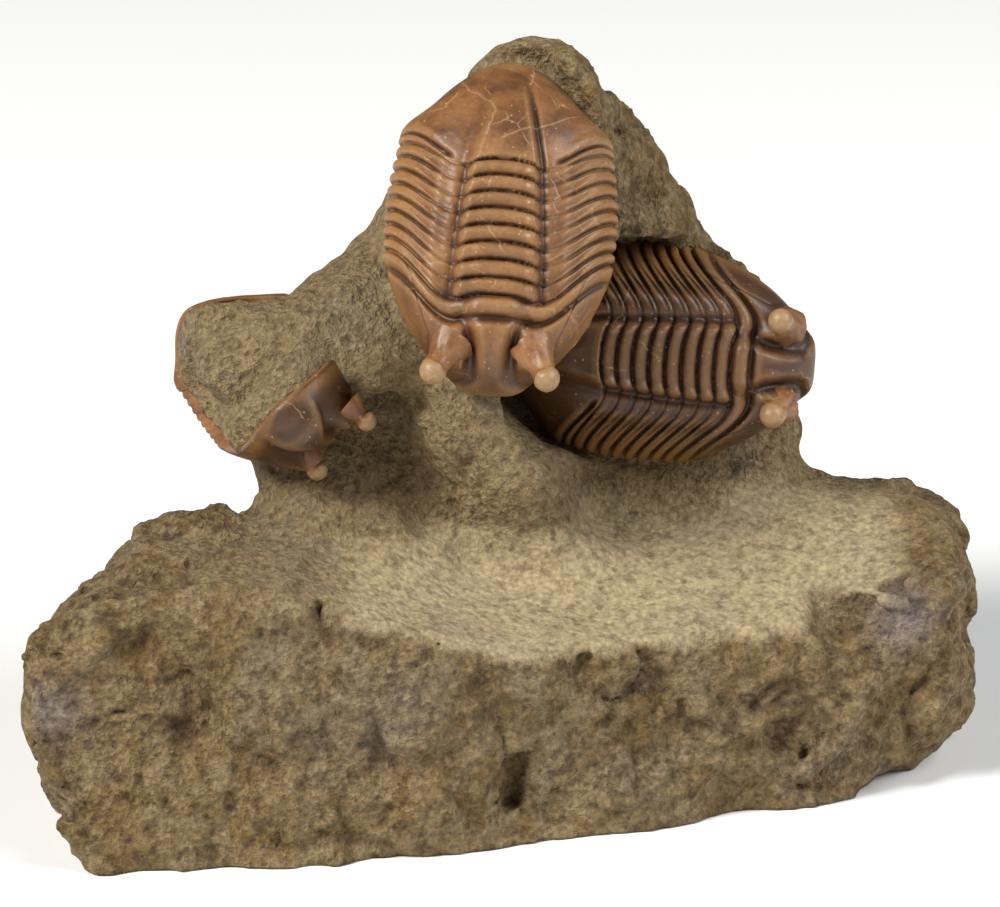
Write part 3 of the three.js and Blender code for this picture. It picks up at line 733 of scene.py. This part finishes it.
# cuts left by tools and weather: points along each, its radius, and how sharp its rim is
cuts = [
    ([(-47.8, -39.5, 53.3), (-46.6, -39.7, 53.2)], 1.5, 0.6),
    ([(-44.3, -40, 51.3)], 1.0, 0.5),
    ([(-38.2, -38.1, 52.8)], 1.0, 0.5),
    ([(-51.1, -39.6, 52.7)], 1.3, 0.6),
    ([(-49, -41.4, 49)], 1.5, 0.6),
    ([(2.2, -33.5, 9.5), (3.2, -33, 17.5)], 2.8, 1.5),
    ([(-1, -36, 15), (2, -34, 17)], 1.6, 1.0),
    ([(15.5, -32.3, 21.3), (15.5, -31.9, 17)], 1.0, 0.5),
    ([(42, -22.8, 21.9), (42, -23.6, 17.7)], 1.2, 0.5),
    ([(24.3, -29, 24.5), (25.3, -29.4, 19.5), (27, -30.4, 14.5), (29.3, -30.4, 10.7)], 0.8, 0.4),
    ([(68, -5, 45.5), (71.5, -11.5, 38.5), (71, -13, 36)], 3.6, 2.0),
    ([(-26, 8, 84), (-21, 6, 74), (-15, 1, 59)], 4.2, 3.0),
    ([(-93, -43.5, 36), (-92, -43.6, 35)], 1.2, 0.6),
    ([(-88.5, -43.6, 33)], 0.9, 0.5),
    ([(-90, -43.6, 30.5)], 0.8, 0.5),
]
# ledges and ridges that stand proud: points along each, its radius, and how softly it joins
ridges = [
    (
        [(-90, -41, 39.5), (-80, -39, 48), (-71.6, -37.4, 53.2), (-61.4, -36, 55), (-53.3, -33.3, 56)],
        2.6,
        3.5,
    ),
    ([(78, -12.5, 27), (74.5, -13.5, 20), (70, -15.5, 13), (64, -17.5, 8)], 2.2, 3.0),
]
hollows = [((2, -39, 13), 5), ((67, -42, 26), 24), ((72, -13, 44), 8), ((-59, -51, 44), 10)]
chip = {"count": 84, "seed": 77, "radius": (9, 24), "depth": (1.2, 3.8)}


def chips():
    # scooped fractures on the broken faces, from the same small generator as the solids
    state = chip["seed"]
    made = []

    def between(low, high):
        nonlocal state
        state = state * 16807 % 2147483647
        return low + (high - low) * state / 2147483647

    for i in range(chip["count"]):
        point, normal = (frontLeft, frontRight, otherFaces[i * 5 % len(otherFaces)])[i % 3]
        normal = unit(normal)
        spot = np.array([between(-100, 100), between(-55, 55), between(0, 60)])
        radius = between(*chip["radius"])
        above = (spot - np.array(point)).dot(normal)
        made.append((spot + normal * (radius - between(*chip["depth"]) - above), radius))
    return made


def topHeight(x, y):
    b, bank, s = block["basin"], block["bank"], block["shelf"]
    dish = b["floor"] + b["dish"] * (y - b["rimY"]) ** 2
    dish = dish + bank["rise"] * np.maximum(0, x - bank["fromX"]) ** 2
    basin = softMin(dish, bank["top"], b["soft"])
    shelf = s["height"] + s["backRise"] * (y - s["frontY"]) - s["drop"] * np.maximum(0, x - s["dropX"])
    return softMax(basin, shelf, block["soft"]["top"])


def wave(x, y, z, k):
    a = np.sin(k * x + 1.7 * np.sin(0.6 * k * y))
    b = np.sin(1.1 * k * y + 1.3 * np.sin(0.7 * k * z))
    return a * b * np.sin(0.9 * k * z + np.sin(0.8 * k * x))


def swellsAt(x, y, z):
    broken = 0.15 + 0.85 * np.maximum(ease(0, 9, topHeight(x, y) - z), ease(34, 50, y))
    rough = 2.4 * wave(x + 11, y, z + 5, 0.1) + 1.3 * wave(x, y + 31, z, 0.21)
    return (rough + 0.7 * wave(x + 7, y, z + 3, 0.43)) * broken


def massDistance(points, form):
    start, startRadius, end, endRadius = form
    axis = np.array(end, float) - start
    length = np.linalg.norm(axis)
    axis = axis / length
    slope = (startRadius - endRadius) / length
    flank = math.sqrt(1 - slope * slope)
    d = points - np.array(start, np.float32)
    along = d @ axis
    away = np.sqrt(np.maximum(0, (d * d).sum(-1) - along * along))
    station = along * flank - away * slope
    side = away * flank + along * slope - startRadius
    side = np.where(station < 0, np.hypot(along, away) - startRadius, side)
    return np.where(station > length * flank, np.hypot(along - length, away) - endRadius, side)


def plinthDistance(points, f):
    b = toBody(f, points)
    p = block["plinth"]
    inset = p["inset"] - p["spread"] * b["z"]
    side = np.abs(b["x"]) - np.maximum(halfWidthAt(b["s"]) - inset, -inset)
    ends = np.abs(b["s"] - bodyLength / 2) - (bodyLength / 2 - inset)
    depth = np.maximum(b["z"], -p["depth"] - b["z"])
    return softMax(softMax(side, ends, p["soft"][0]), depth, p["soft"][1]) * f["scale"]


def clearingDistance(points, f):
    b = toBody(f, points)
    c = block["clearing"]
    side = np.abs(b["x"]) - halfWidthAt(np.clip(b["s"], 3, bodyLength - 3)) - c["margin"]
    ends = np.abs(b["s"] - bodyLength / 2) - bodyLength / 2 - c["margin"]
    depth = np.maximum(-c["below"] - b["z"], b["z"] - c["height"])
    return softMax(softMax(side, ends, c["soft"][0]), depth, c["soft"][1]) * f["scale"]


def lobeDistance(points, f):
    b = toBody(f, points)
    lobe, face = block["lobe"], block["lobeFace"]
    inset = lobe["inset"] + lobe["headInset"] * ease(lobe["headFrom"], lobe["headTo"], b["s"])
    side = np.abs(b["x"]) - halfWidthAt(np.clip(b["s"], 1, bodyLength - 1)) + inset
    filled = softMax(b["z"], side, lobe["soft"]) * f["scale"]
    opening = face["at"] + face["tilt"] * b["along"] - b["up"]
    depth = face["rimDepth"] + face["middleDepth"] * (1 - np.clip(b["x"] / face["halfWidth"], 0, 1) ** 2)
    opening = softMax(opening, (-depth - b["z"]) * f["scale"], lobe["soft"])
    tooHigh = points[..., 2] - f["flatAbove"] - lobe["topSpare"]
    return softMax(softMax(filled, opening, lobe["soft"]), tooHigh, lobe["soft"])


def facets(points, size, seed):
    # tilted flat chips with steps between them, as a fresh break shows
    rng = np.random.default_rng(seed)
    spot = rng.uniform(0.2, 0.8, (16, 16, 16, 3)).astype(np.float32)
    tilt = rng.normal(0, 0.6, (16, 16, 16, 3)).astype(np.float32)
    level = rng.uniform(-0.5, 0.5, (16, 16, 16)).astype(np.float32)
    cell = (points.astype(np.float32) @ turned.T) / size
    low = np.floor(cell - 0.5).astype(np.int32)
    total = np.zeros(len(points), np.float32)
    weight = np.full(len(points), 1e-6, np.float32)
    for corner in np.ndindex(2, 2, 2):
        at = low + np.array(corner, np.int32)
        i, j, k = (at & 15).T
        away = cell - at - spot[i, j, k]
        near = np.exp(-14 * (away * away).sum(1))
        total += near * (level[i, j, k] + (tilt[i, j, k] * away).sum(1))
        weight += near
    return total / weight


def brokenShare(points):
    # 1 where the stone is freshly broken, 0 where it was worked smooth round the animals
    x, y, z = points.T
    below = ease(0.5, 4, topHeight(x, y) - z + 1.8 * noise(points, 7, 41))
    leftTop = ease(-48, -60, x) * ease(68, 60, z)
    behind = ease(36, 50, y)
    peakSide = ease(20, 29, x + 0.2 * (z - 90)) * ease(84, 96, z) * ease(6, 16, y)
    rightBank = ease(80, 90, x)
    return np.clip(np.maximum.reduce([below * ease(68, 60, z), leftTop, behind, peakSide, rightBank]), 0, 1)


def smoothShare(points):
    # 1 in the dished front, which was worked finest
    x, y, z = points.T
    return ease(60, 54, z + 2 * noise(points, 14, 42)) * ease(-40, -25, x) * ease(40, 20, y)


# small relief of the stone: each term is its depth, the size it repeats at and its seed
relief = {
    "facets": [(1.7, 16, 61), (1.0, 7.5, 62), (0.65, 3.8, 63)],
    "crumbs": [(0.45, 4.6, 64), (0.45, 2.5, 65), (0.2, 1.8, 69)],
    "pebbles": [(0.6, 9, 71), (0.5, 4.2, 72), (0.45, 2.4, 73)],
    "dimples": [(0.3, 11, 75), (0.2, 4.5, 76), (0.17, 2.3, 77)],
}
# long tool grooves down the middle of the front
scrape = {"centre": (-9, 3, 64), "squash": (0.8, 0.5, 0.6), "reach": 13, "depth": 1.5}


def layered(pattern, points, terms):
    return sum(depth * pattern(points, size, seed) for depth, size, seed in terms)


def carved(points, broken, smooth):
    # millimetres taken off: chips, creases and pits where broken, pebbly bumps or fine dimples elsewhere
    sway = np.stack([noise(points, 13, seed) for seed in (51, 52, 53)], 1) * 2.6
    q = points + sway
    chipped = layered(facets, q, relief["facets"])
    crumbs = layered(noise, q, relief["crumbs"])
    crease = 1.2 * (1 - np.abs(noise(q, 16, 66))) ** 14 + 0.7 * (1 - np.abs(noise(q, 8, 67))) ** 10
    gap, name = cells(q, 8, 68)
    pits = 1.3 * ease(0.24, 0.1, gap) * (name > 0.88)
    nearBase = 0.4 + 0.6 * ease(1, 9, points[:, 2])
    pebbles = layered(noise, points, relief["pebbles"])
    along = points @ np.array([[0.6, -0.45, 0.66], [0.35, 0.89, 0.28], [-0.72, 0.07, 0.69]], np.float32)
    grooved = noise(along, 3.4, 74, (0.8, 0.8, 3.2))
    away = np.linalg.norm((points - np.array(scrape["centre"], np.float32)) * scrape["squash"], axis=1)
    grooves = scrape["depth"] * ease(0.1, 0.75, grooved) * bell(away, scrape["reach"])
    dimples = layered(noise, points, relief["dimples"])
    worked = (pebbles + grooves) * (1 - smooth) + dimples * smooth
    return (chipped + crumbs + crease + pits) * broken * nearBase + worked * (1 - broken)


def blockField(low, step, counts):
    axes = [low[n] + step * np.arange(counts[n], dtype=np.float32) for n in range(3)]
    x, y, z = np.meshgrid(*axes, indexing="ij", sparse=True)
    top = topHeight(x, y)
    field = (z - top) * block["topLean"]
    for point, normal in [frontLeft, frontRight, *otherFaces, backSlope]:
        n = unit(normal)
        beyond = (x - point[0]) * n[0] + (y - point[1]) * n[1] + (z - point[2]) * n[2]
        field = softMax(field, beyond, block["soft"]["faces"])
    swells = swellsAt(x, y, z)
    field = (field + swells).astype(np.float32)

    def within(centre, reach):
        # the grid points inside a box, and which part of the grid they are
        spans = []
        for n in range(3):
            first = max(0, int((centre[n] - reach[n] - low[n]) / step))
            last = min(counts[n], int((centre[n] + reach[n] - low[n]) / step) + 2)
            spans.append(slice(first, max(first, last)))
        spans = tuple(spans)
        grid = np.meshgrid(*[axes[n][spans[n]] for n in range(3)], indexing="ij")
        return spans, np.stack(grid, -1).astype(np.float32)

    for centre, radius in [*chips(), *hollows]:
        spans, points = within(centre, [radius + 1] * 3)
        reach = radius - np.linalg.norm(points - np.array(centre, np.float32), axis=-1)
        field[spans] = softMax(field[spans], reach, block["soft"]["chip"])
    for form in masses:
        ends = np.array([form[0], form[2]], float)
        widest = max(form[1], form[3]) + block["soft"]["masses"] + 4
        spans, points = within(ends.mean(0), np.ptp(ends, 0) / 2 + widest)
        near = massDistance(points, form) + swells[spans] * block["massSwell"]
        field[spans] = softMin(field[spans], near, block["soft"]["masses"])
    proud = [specimenFrame(specimens[name]) for name in ("trilobite_upright", "trilobite_sideways")]
    for f in proud:
        spans, points = within(f["place"], block["around"]["plinth"])
        field[spans] = softMin(field[spans], plinthDistance(points, f), block["soft"]["plinth"])
    for f in proud:
        spans, points = within(f["place"], block["around"]["clearing"])
        field[spans] = softMax(field[spans], -clearingDistance(points, f), block["soft"]["clearing"])
    curled = specimenFrame(specimens["trilobite_curled"])
    middle = np.array(curled["place"]) - curled["back"] * block["around"]["lobeBehind"]
    spans, points = within(middle, block["around"]["lobe"])
    field[spans] = softMin(field[spans], lobeDistance(points, curled), block["soft"]["lobe"])

    close = np.argwhere(np.abs(field) < block["carveBand"])
    points = (close * step + np.array(low)).astype(np.float32)
    field[tuple(close.T)] += carved(points, brokenShare(points), smoothShare(points))
    for proudSide, forms in ((True, ridges), (False, cuts)):
        for path, radius, soft in forms:
            ends = np.array(path, float)
            spans, points = within((ends.min(0) + ends.max(0)) / 2, np.ptp(ends, 0) / 2 + radius + soft + 2)
            reach = pathDistance(points, path) - radius
            if proudSide:
                field[spans] = softMin(field[spans], reach, soft)
            else:
                field[spans] = softMax(field[spans], -reach, soft)
    lowCorner, highCorner = np.array(cadBox) / mm
    for n, axis in enumerate((x, y, z)):
        field = np.maximum(field, np.maximum(lowCorner[n] - axis, axis - highCorner[n]))
    return field.astype(np.float32)


def surfaceNet(field):
    # closed quads round the inside of a field: one point in each cell that the surface passes
    inside = field < 0
    corners = list(np.ndindex(2, 2, 2))
    size = np.array(field.shape) - 1
    total = np.zeros(size, np.uint8)
    for i, j, k in corners:
        total += inside[i : i + size[0], j : j + size[1], k : k + size[2]]
    passed = (total > 0) & (total < 8)
    index = np.full(passed.shape, -1, np.int32)
    index[passed] = np.arange(passed.sum())
    cell = np.argwhere(passed)
    spot = np.zeros((len(cell), 3), np.float32)
    count = np.zeros(len(cell), np.float32)
    for a in corners:
        for n in range(3):
            if a[n]:
                continue
            b = tuple(a[m] + (m == n) for m in range(3))
            va = field[tuple((cell + a).T)]
            vb = field[tuple((cell + b).T)]
            crossed = (va < 0) != (vb < 0)
            t = np.where(crossed, va / np.where(va == vb, 1, va - vb), 0)
            at = np.array(a, np.float32) + t[:, None] * np.eye(3, dtype=np.float32)[n]
            spot += crossed[:, None] * at
            count += crossed
    points = cell + spot / count[:, None]
    quads = []
    for n in range(3):
        u, v = (n + 1) % 3, (n + 2) % 3
        one, two = [slice(1, -1)] * 3, [slice(1, -1)] * 3
        one[n], two[n] = slice(0, -1), slice(1, None)
        changed = inside[tuple(one)] != inside[tuple(two)]
        at = np.argwhere(changed) + 1
        at[:, n] -= 1
        leaving = inside[tuple(at.T)]
        eu, ev = np.eye(3, dtype=int)[u], np.eye(3, dtype=int)[v]
        quad = np.stack([index[tuple((at - d).T)] for d in (0 * eu, eu, eu + ev, ev)], 1)
        quad[~leaving] = quad[~leaving][:, ::-1]
        quads.append(quad)
    return points, np.concatenate(quads)


stoneLook = {
    "pale": "#AD9C78",
    "tan": "#98815A",
    "ochre": "#80622F",
    "brown": "#4A341A",
    "grey": "#877D69",
    "lilac": "#9C9190",
    "grainSize": 0.9,  # the real grains are nearer 0.1 and would not show
    "stainSize": 3.4,
    "cloudSize": 9,
    "wideSize": 24,
    "crumbSize": 2.5,
    "pebbleSize": 1.5,
    "pebbleSway": (2.0, 1.3),  # size and reach of their crooked outlines
    # the grain, crumb and pebble ranges paint shade in the hollows and highlights on the tops of the same
    # patterns that make the bumps; the grain range is partly the stone's own grain tone
    "grainToneAndShade": (0.3, 0.7, 0.6, 1.3),
    "crumbHollowShade": (0.5, 0.3, 0.0, 0.6),
    "crumbTopHighlight": (0.52, 0.7, 0.0, 0.45),
    "pebbleGapShade": (0.2, 0.8, 1.12, 0.55),
    "reliefDepth": 3.2,
    "reliefShare": (0.0, 1.0, 1.0, 0.35),  # less of it where the stone was worked finest
    "roughness": 0.95,
}


def stoneMaterial():
    # limestone, part broken and part abraded smooth: dull, granular, stained ochre on the old breaks
    look = stoneLook
    material, tree = newMaterial("brokenLimestone")
    where, part = readNodes(tree, ("broken", "smooth", "paintedShade", "lilac", "paleSpot"))
    sizes = ("wideSize", "cloudSize", "stainSize", "grainSize")
    wide, cloud, stain, grain = [cloudNode(tree, where, look[size], 4.0) for size in sizes]
    crumb = cloudNode(tree, where, look["crumbSize"], 3.0)
    crumb.inputs["Lacunarity"].default_value = 2.1

    # tan stone with clouds of ochre where it is broken, under layers of other colours, stained only there
    tan = linear(look["tan"])
    broken = rangeNode(tree, part["broken"], 0, 1, 0, 0.9)
    ochre = rangeNode(tree, cloud, 0.42, 0.6, 0, 0.85)
    rough = add(tree, "MixRGB", {"Color1": tan, "Color2": linear(look["ochre"])}, {"Fac": ochre})
    colour = add(tree, "MixRGB", {"Color1": tan}, {"Fac": broken, "Color2": rough})
    for name, source, low, high, most in (
        ("pale", part["smooth"], 0, 1, 0.75),
        ("grey", wide, 0.5, 0.68, 0.45),
        ("brown", stain, 0.5, 0.66, 0.8),
        # painted shade: brown in carved hollows and a painted shadow under the sideways animal
        ("brown", part["paintedShade"], 0, 1, 0.85),
        ("grey", part["paleSpot"], 0, 1, 0.6),
        ("lilac", part["lilac"], 0, 1, 0.7),
    ):
        share = rangeNode(tree, source, low, high, 0, most)
        if source is stain:
            share = add(tree, "Math", {"operation": "MULTIPLY"}, {0: share, 1: broken})
        colour = layerNode(tree, colour, share, look[name])
    # grain tone, also painted shade where the grain is low, as the same pattern makes the bumps
    colour = shadeNode(tree, colour, rangeNode(tree, grain, *look["grainToneAndShade"]), 0.8)
    # painted shade: brown in the hollows between crumbs; painted highlight: pale on top of them
    colour = layerNode(tree, colour, rangeNode(tree, crumb, *look["crumbHollowShade"]), look["brown"])
    colour = layerNode(tree, colour, rangeNode(tree, crumb, *look["crumbTopHighlight"]), look["pale"])

    crooked = crookedNode(tree, where, look["pebbleSway"], 0.6)
    pebble = add(tree, "TexVoronoi", {"Scale": 1 / (look["pebbleSize"] * mm)}, {"Vector": crooked})
    # painted shade between the pebbles
    colour = shadeNode(tree, colour, rangeNode(tree, pebble, *look["pebbleGapShade"]), 0.6)

    height = add(tree, "Math", {"operation": "MULTIPLY", 1: -0.22}, {0: pebble})
    height = add(tree, "Math", {"operation": "MULTIPLY_ADD", 1: 0.4}, {0: grain, 2: height})
    height = add(tree, "Math", {"operation": "MULTIPLY_ADD", 1: 1.0}, {0: crumb, 2: height})
    strength = rangeNode(tree, part["smooth"], *look["reliefShare"])
    bump = add(tree, "Bump", {"Distance": look["reliefDepth"] * mm}, {"Height": height, "Strength": strength})
    surface = {"IOR": 1.5, "Roughness": look["roughness"]}
    shader = add(tree, "BsdfPrincipled", surface, {"Base Color": colour, "Normal": bump})
    add(tree, "OutputMaterial", None, {"Surface": shader})
    return material


# stains and patches: name, centre, reach, strength
patches = [
    ("lilac", (85.3, -9.3, 40), 6.5, 1.0),
    ("lilac", (-91.5, -43.4, 33), 6, 0.8),
    ("paleSpot", (-19, -41, 32), 9, 1.0),
]
# a painted shadow under the sideways animal
shadowUnderAnimal = {"centre": (22, 8, 59), "squash": (0.5, 0.8, 1), "reach": 9, "strength": 0.6}


def limestone(material):
    step = block["step"]
    low, high = np.array(block["low"], float), np.array(block["high"], float)
    counts = np.ceil((high - low) / step).astype(int)
    points, quads = surfaceNet(blockField(low, step, counts))
    points = points * step + low
    piece = newPiece("limestone_block", points, [quads])
    triangles = 2 * len(quads)
    print("block meshed with", triangles, "triangles")
    if triangles > block["mostTriangles"]:
        thin = piece.modifiers.new("thin", "DECIMATE")
        thin.ratio = block["mostTriangles"] / triangles
        bpy.context.view_layer.update()
        evaluated = piece.evaluated_get(bpy.context.evaluated_depsgraph_get())
        thinned = bpy.data.meshes.new_from_object(evaluated)
        piece.modifiers.clear()
        piece.data = thinned
    where = np.empty(len(piece.data.vertices) * 3, np.float32)
    piece.data.vertices.foreach_get("co", where)
    lowCorner, highCorner = np.array(cadBox) / mm
    inside = block["inside"]
    where = np.clip(where.reshape(-1, 3) / mm, lowCorner + (inside, inside, 0), highCorner - inside)
    piece.data.vertices.foreach_set("co", (where * mm).astype(np.float32).ravel())
    broken, smooth = brokenShare(where), smoothShare(where)
    values = {"broken": broken, "smooth": smooth * (1 - broken)}
    # painted shade: darker where the stone is carved deeper, more so where it is broken
    values["paintedShade"] = np.clip((carved(where, broken, smooth) - 0.5) * 0.45, 0, 1) * (0.35 + 0.65 * broken)
    # painted shadow under the sideways animal
    away = np.linalg.norm((where - np.array(shadowUnderAnimal["centre"])) * shadowUnderAnimal["squash"], axis=1)
    values["paintedShade"] += shadowUnderAnimal["strength"] * bell(away, shadowUnderAnimal["reach"])
    for name, centre, reach, strength in patches:
        patch = strength * bell(np.linalg.norm(where - np.array(centre), axis=1), reach)
        values[name] = values.get(name, 0) + patch
    setValues(piece, values)
    piece.data.materials.clear()
    piece.data.materials.append(material)
    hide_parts("matrix")
    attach(piece, "root")
    print("block made with", len(piece.data.polygons), "faces")


studio = {
    "target": (0.1, 0, 73.5),
    "distance": 1200,
    "elevation": 20,
    "lens": 205.7,
    "sensor": 36,
    "clip": (0.05, 20),  # metres
    "lights": {  # direction, distance, size, watts, colour
        "keySoftbox": ((-0.62, -0.42, 0.67), 3000, 1000, 120, (1, 0.985, 0.96)),
        "fillPanel": ((0.9, -0.25, 0.75), 1500, 900, 19, (0.96, 0.98, 1)),
    },
    "airLight": 0.09,
    "floorHalf": 3000,
    "floorColour": "#F6F6F4",
    "floorRoughness": 0.9,
}


def aimed(name, data, direction, distance):
    # a lamp or camera that looks at the target from a direction
    target = Vector(studio["target"]) * mm
    holder = bpy.data.objects.new(name, data)
    bpy.context.scene.collection.objects.link(holder)
    holder.location = target + Vector(direction).normalized() * distance * mm
    holder.rotation_euler = (target - holder.location).to_track_quat("-Z", "Y").to_euler()
    return holder


def studioSet():
    lift = math.radians(studio["elevation"])
    data = bpy.data.cameras.new("camera")
    data.lens = studio["lens"]
    data.sensor_width = studio["sensor"]
    data.clip_start, data.clip_end = studio["clip"]
    direction = (0, -math.cos(lift), math.sin(lift))
    bpy.context.scene.camera = aimed("camera", data, direction, studio["distance"])

    for name, (direction, distance, size, watts, colour) in studio["lights"].items():
        lamp = bpy.data.lights.new(name, "AREA")
        lamp.size = size * mm
        lamp.energy = watts
        lamp.color = colour
        aimed(name, lamp, direction, distance)

    world = bpy.data.worlds.new("studioAir")
    world.use_nodes = True
    background = world.node_tree.nodes["Background"]
    background.inputs["Color"].default_value = (1, 1, 1, 1)
    background.inputs["Strength"].default_value = studio["airLight"]
    bpy.context.scene.world = world
    bpy.context.scene.view_settings.view_transform = "Standard"

    half = studio["floorHalf"]
    corners = [(-half, -half, 0), (half, -half, 0), (half, half, 0), (-half, half, 0)]
    floor = newPiece("floor", corners, [[[0, 1, 2, 3]]])
    paper, tree = newMaterial("mattePaper")  # plain white backdrop paper, no gloss
    surface = {"Base Color": linear(studio["floorColour"]), "Roughness": studio["floorRoughness"]}
    shader = add(tree, "BsdfPrincipled", surface)
    add(tree, "OutputMaterial", None, {"Surface": shader})
    floor.data.materials.append(paper)


studioSet()
print("set and camera placed")
limestone(stoneMaterial())
shell = shellMaterial()
for specimenName in specimens:
    trilobite(specimenName, shell)
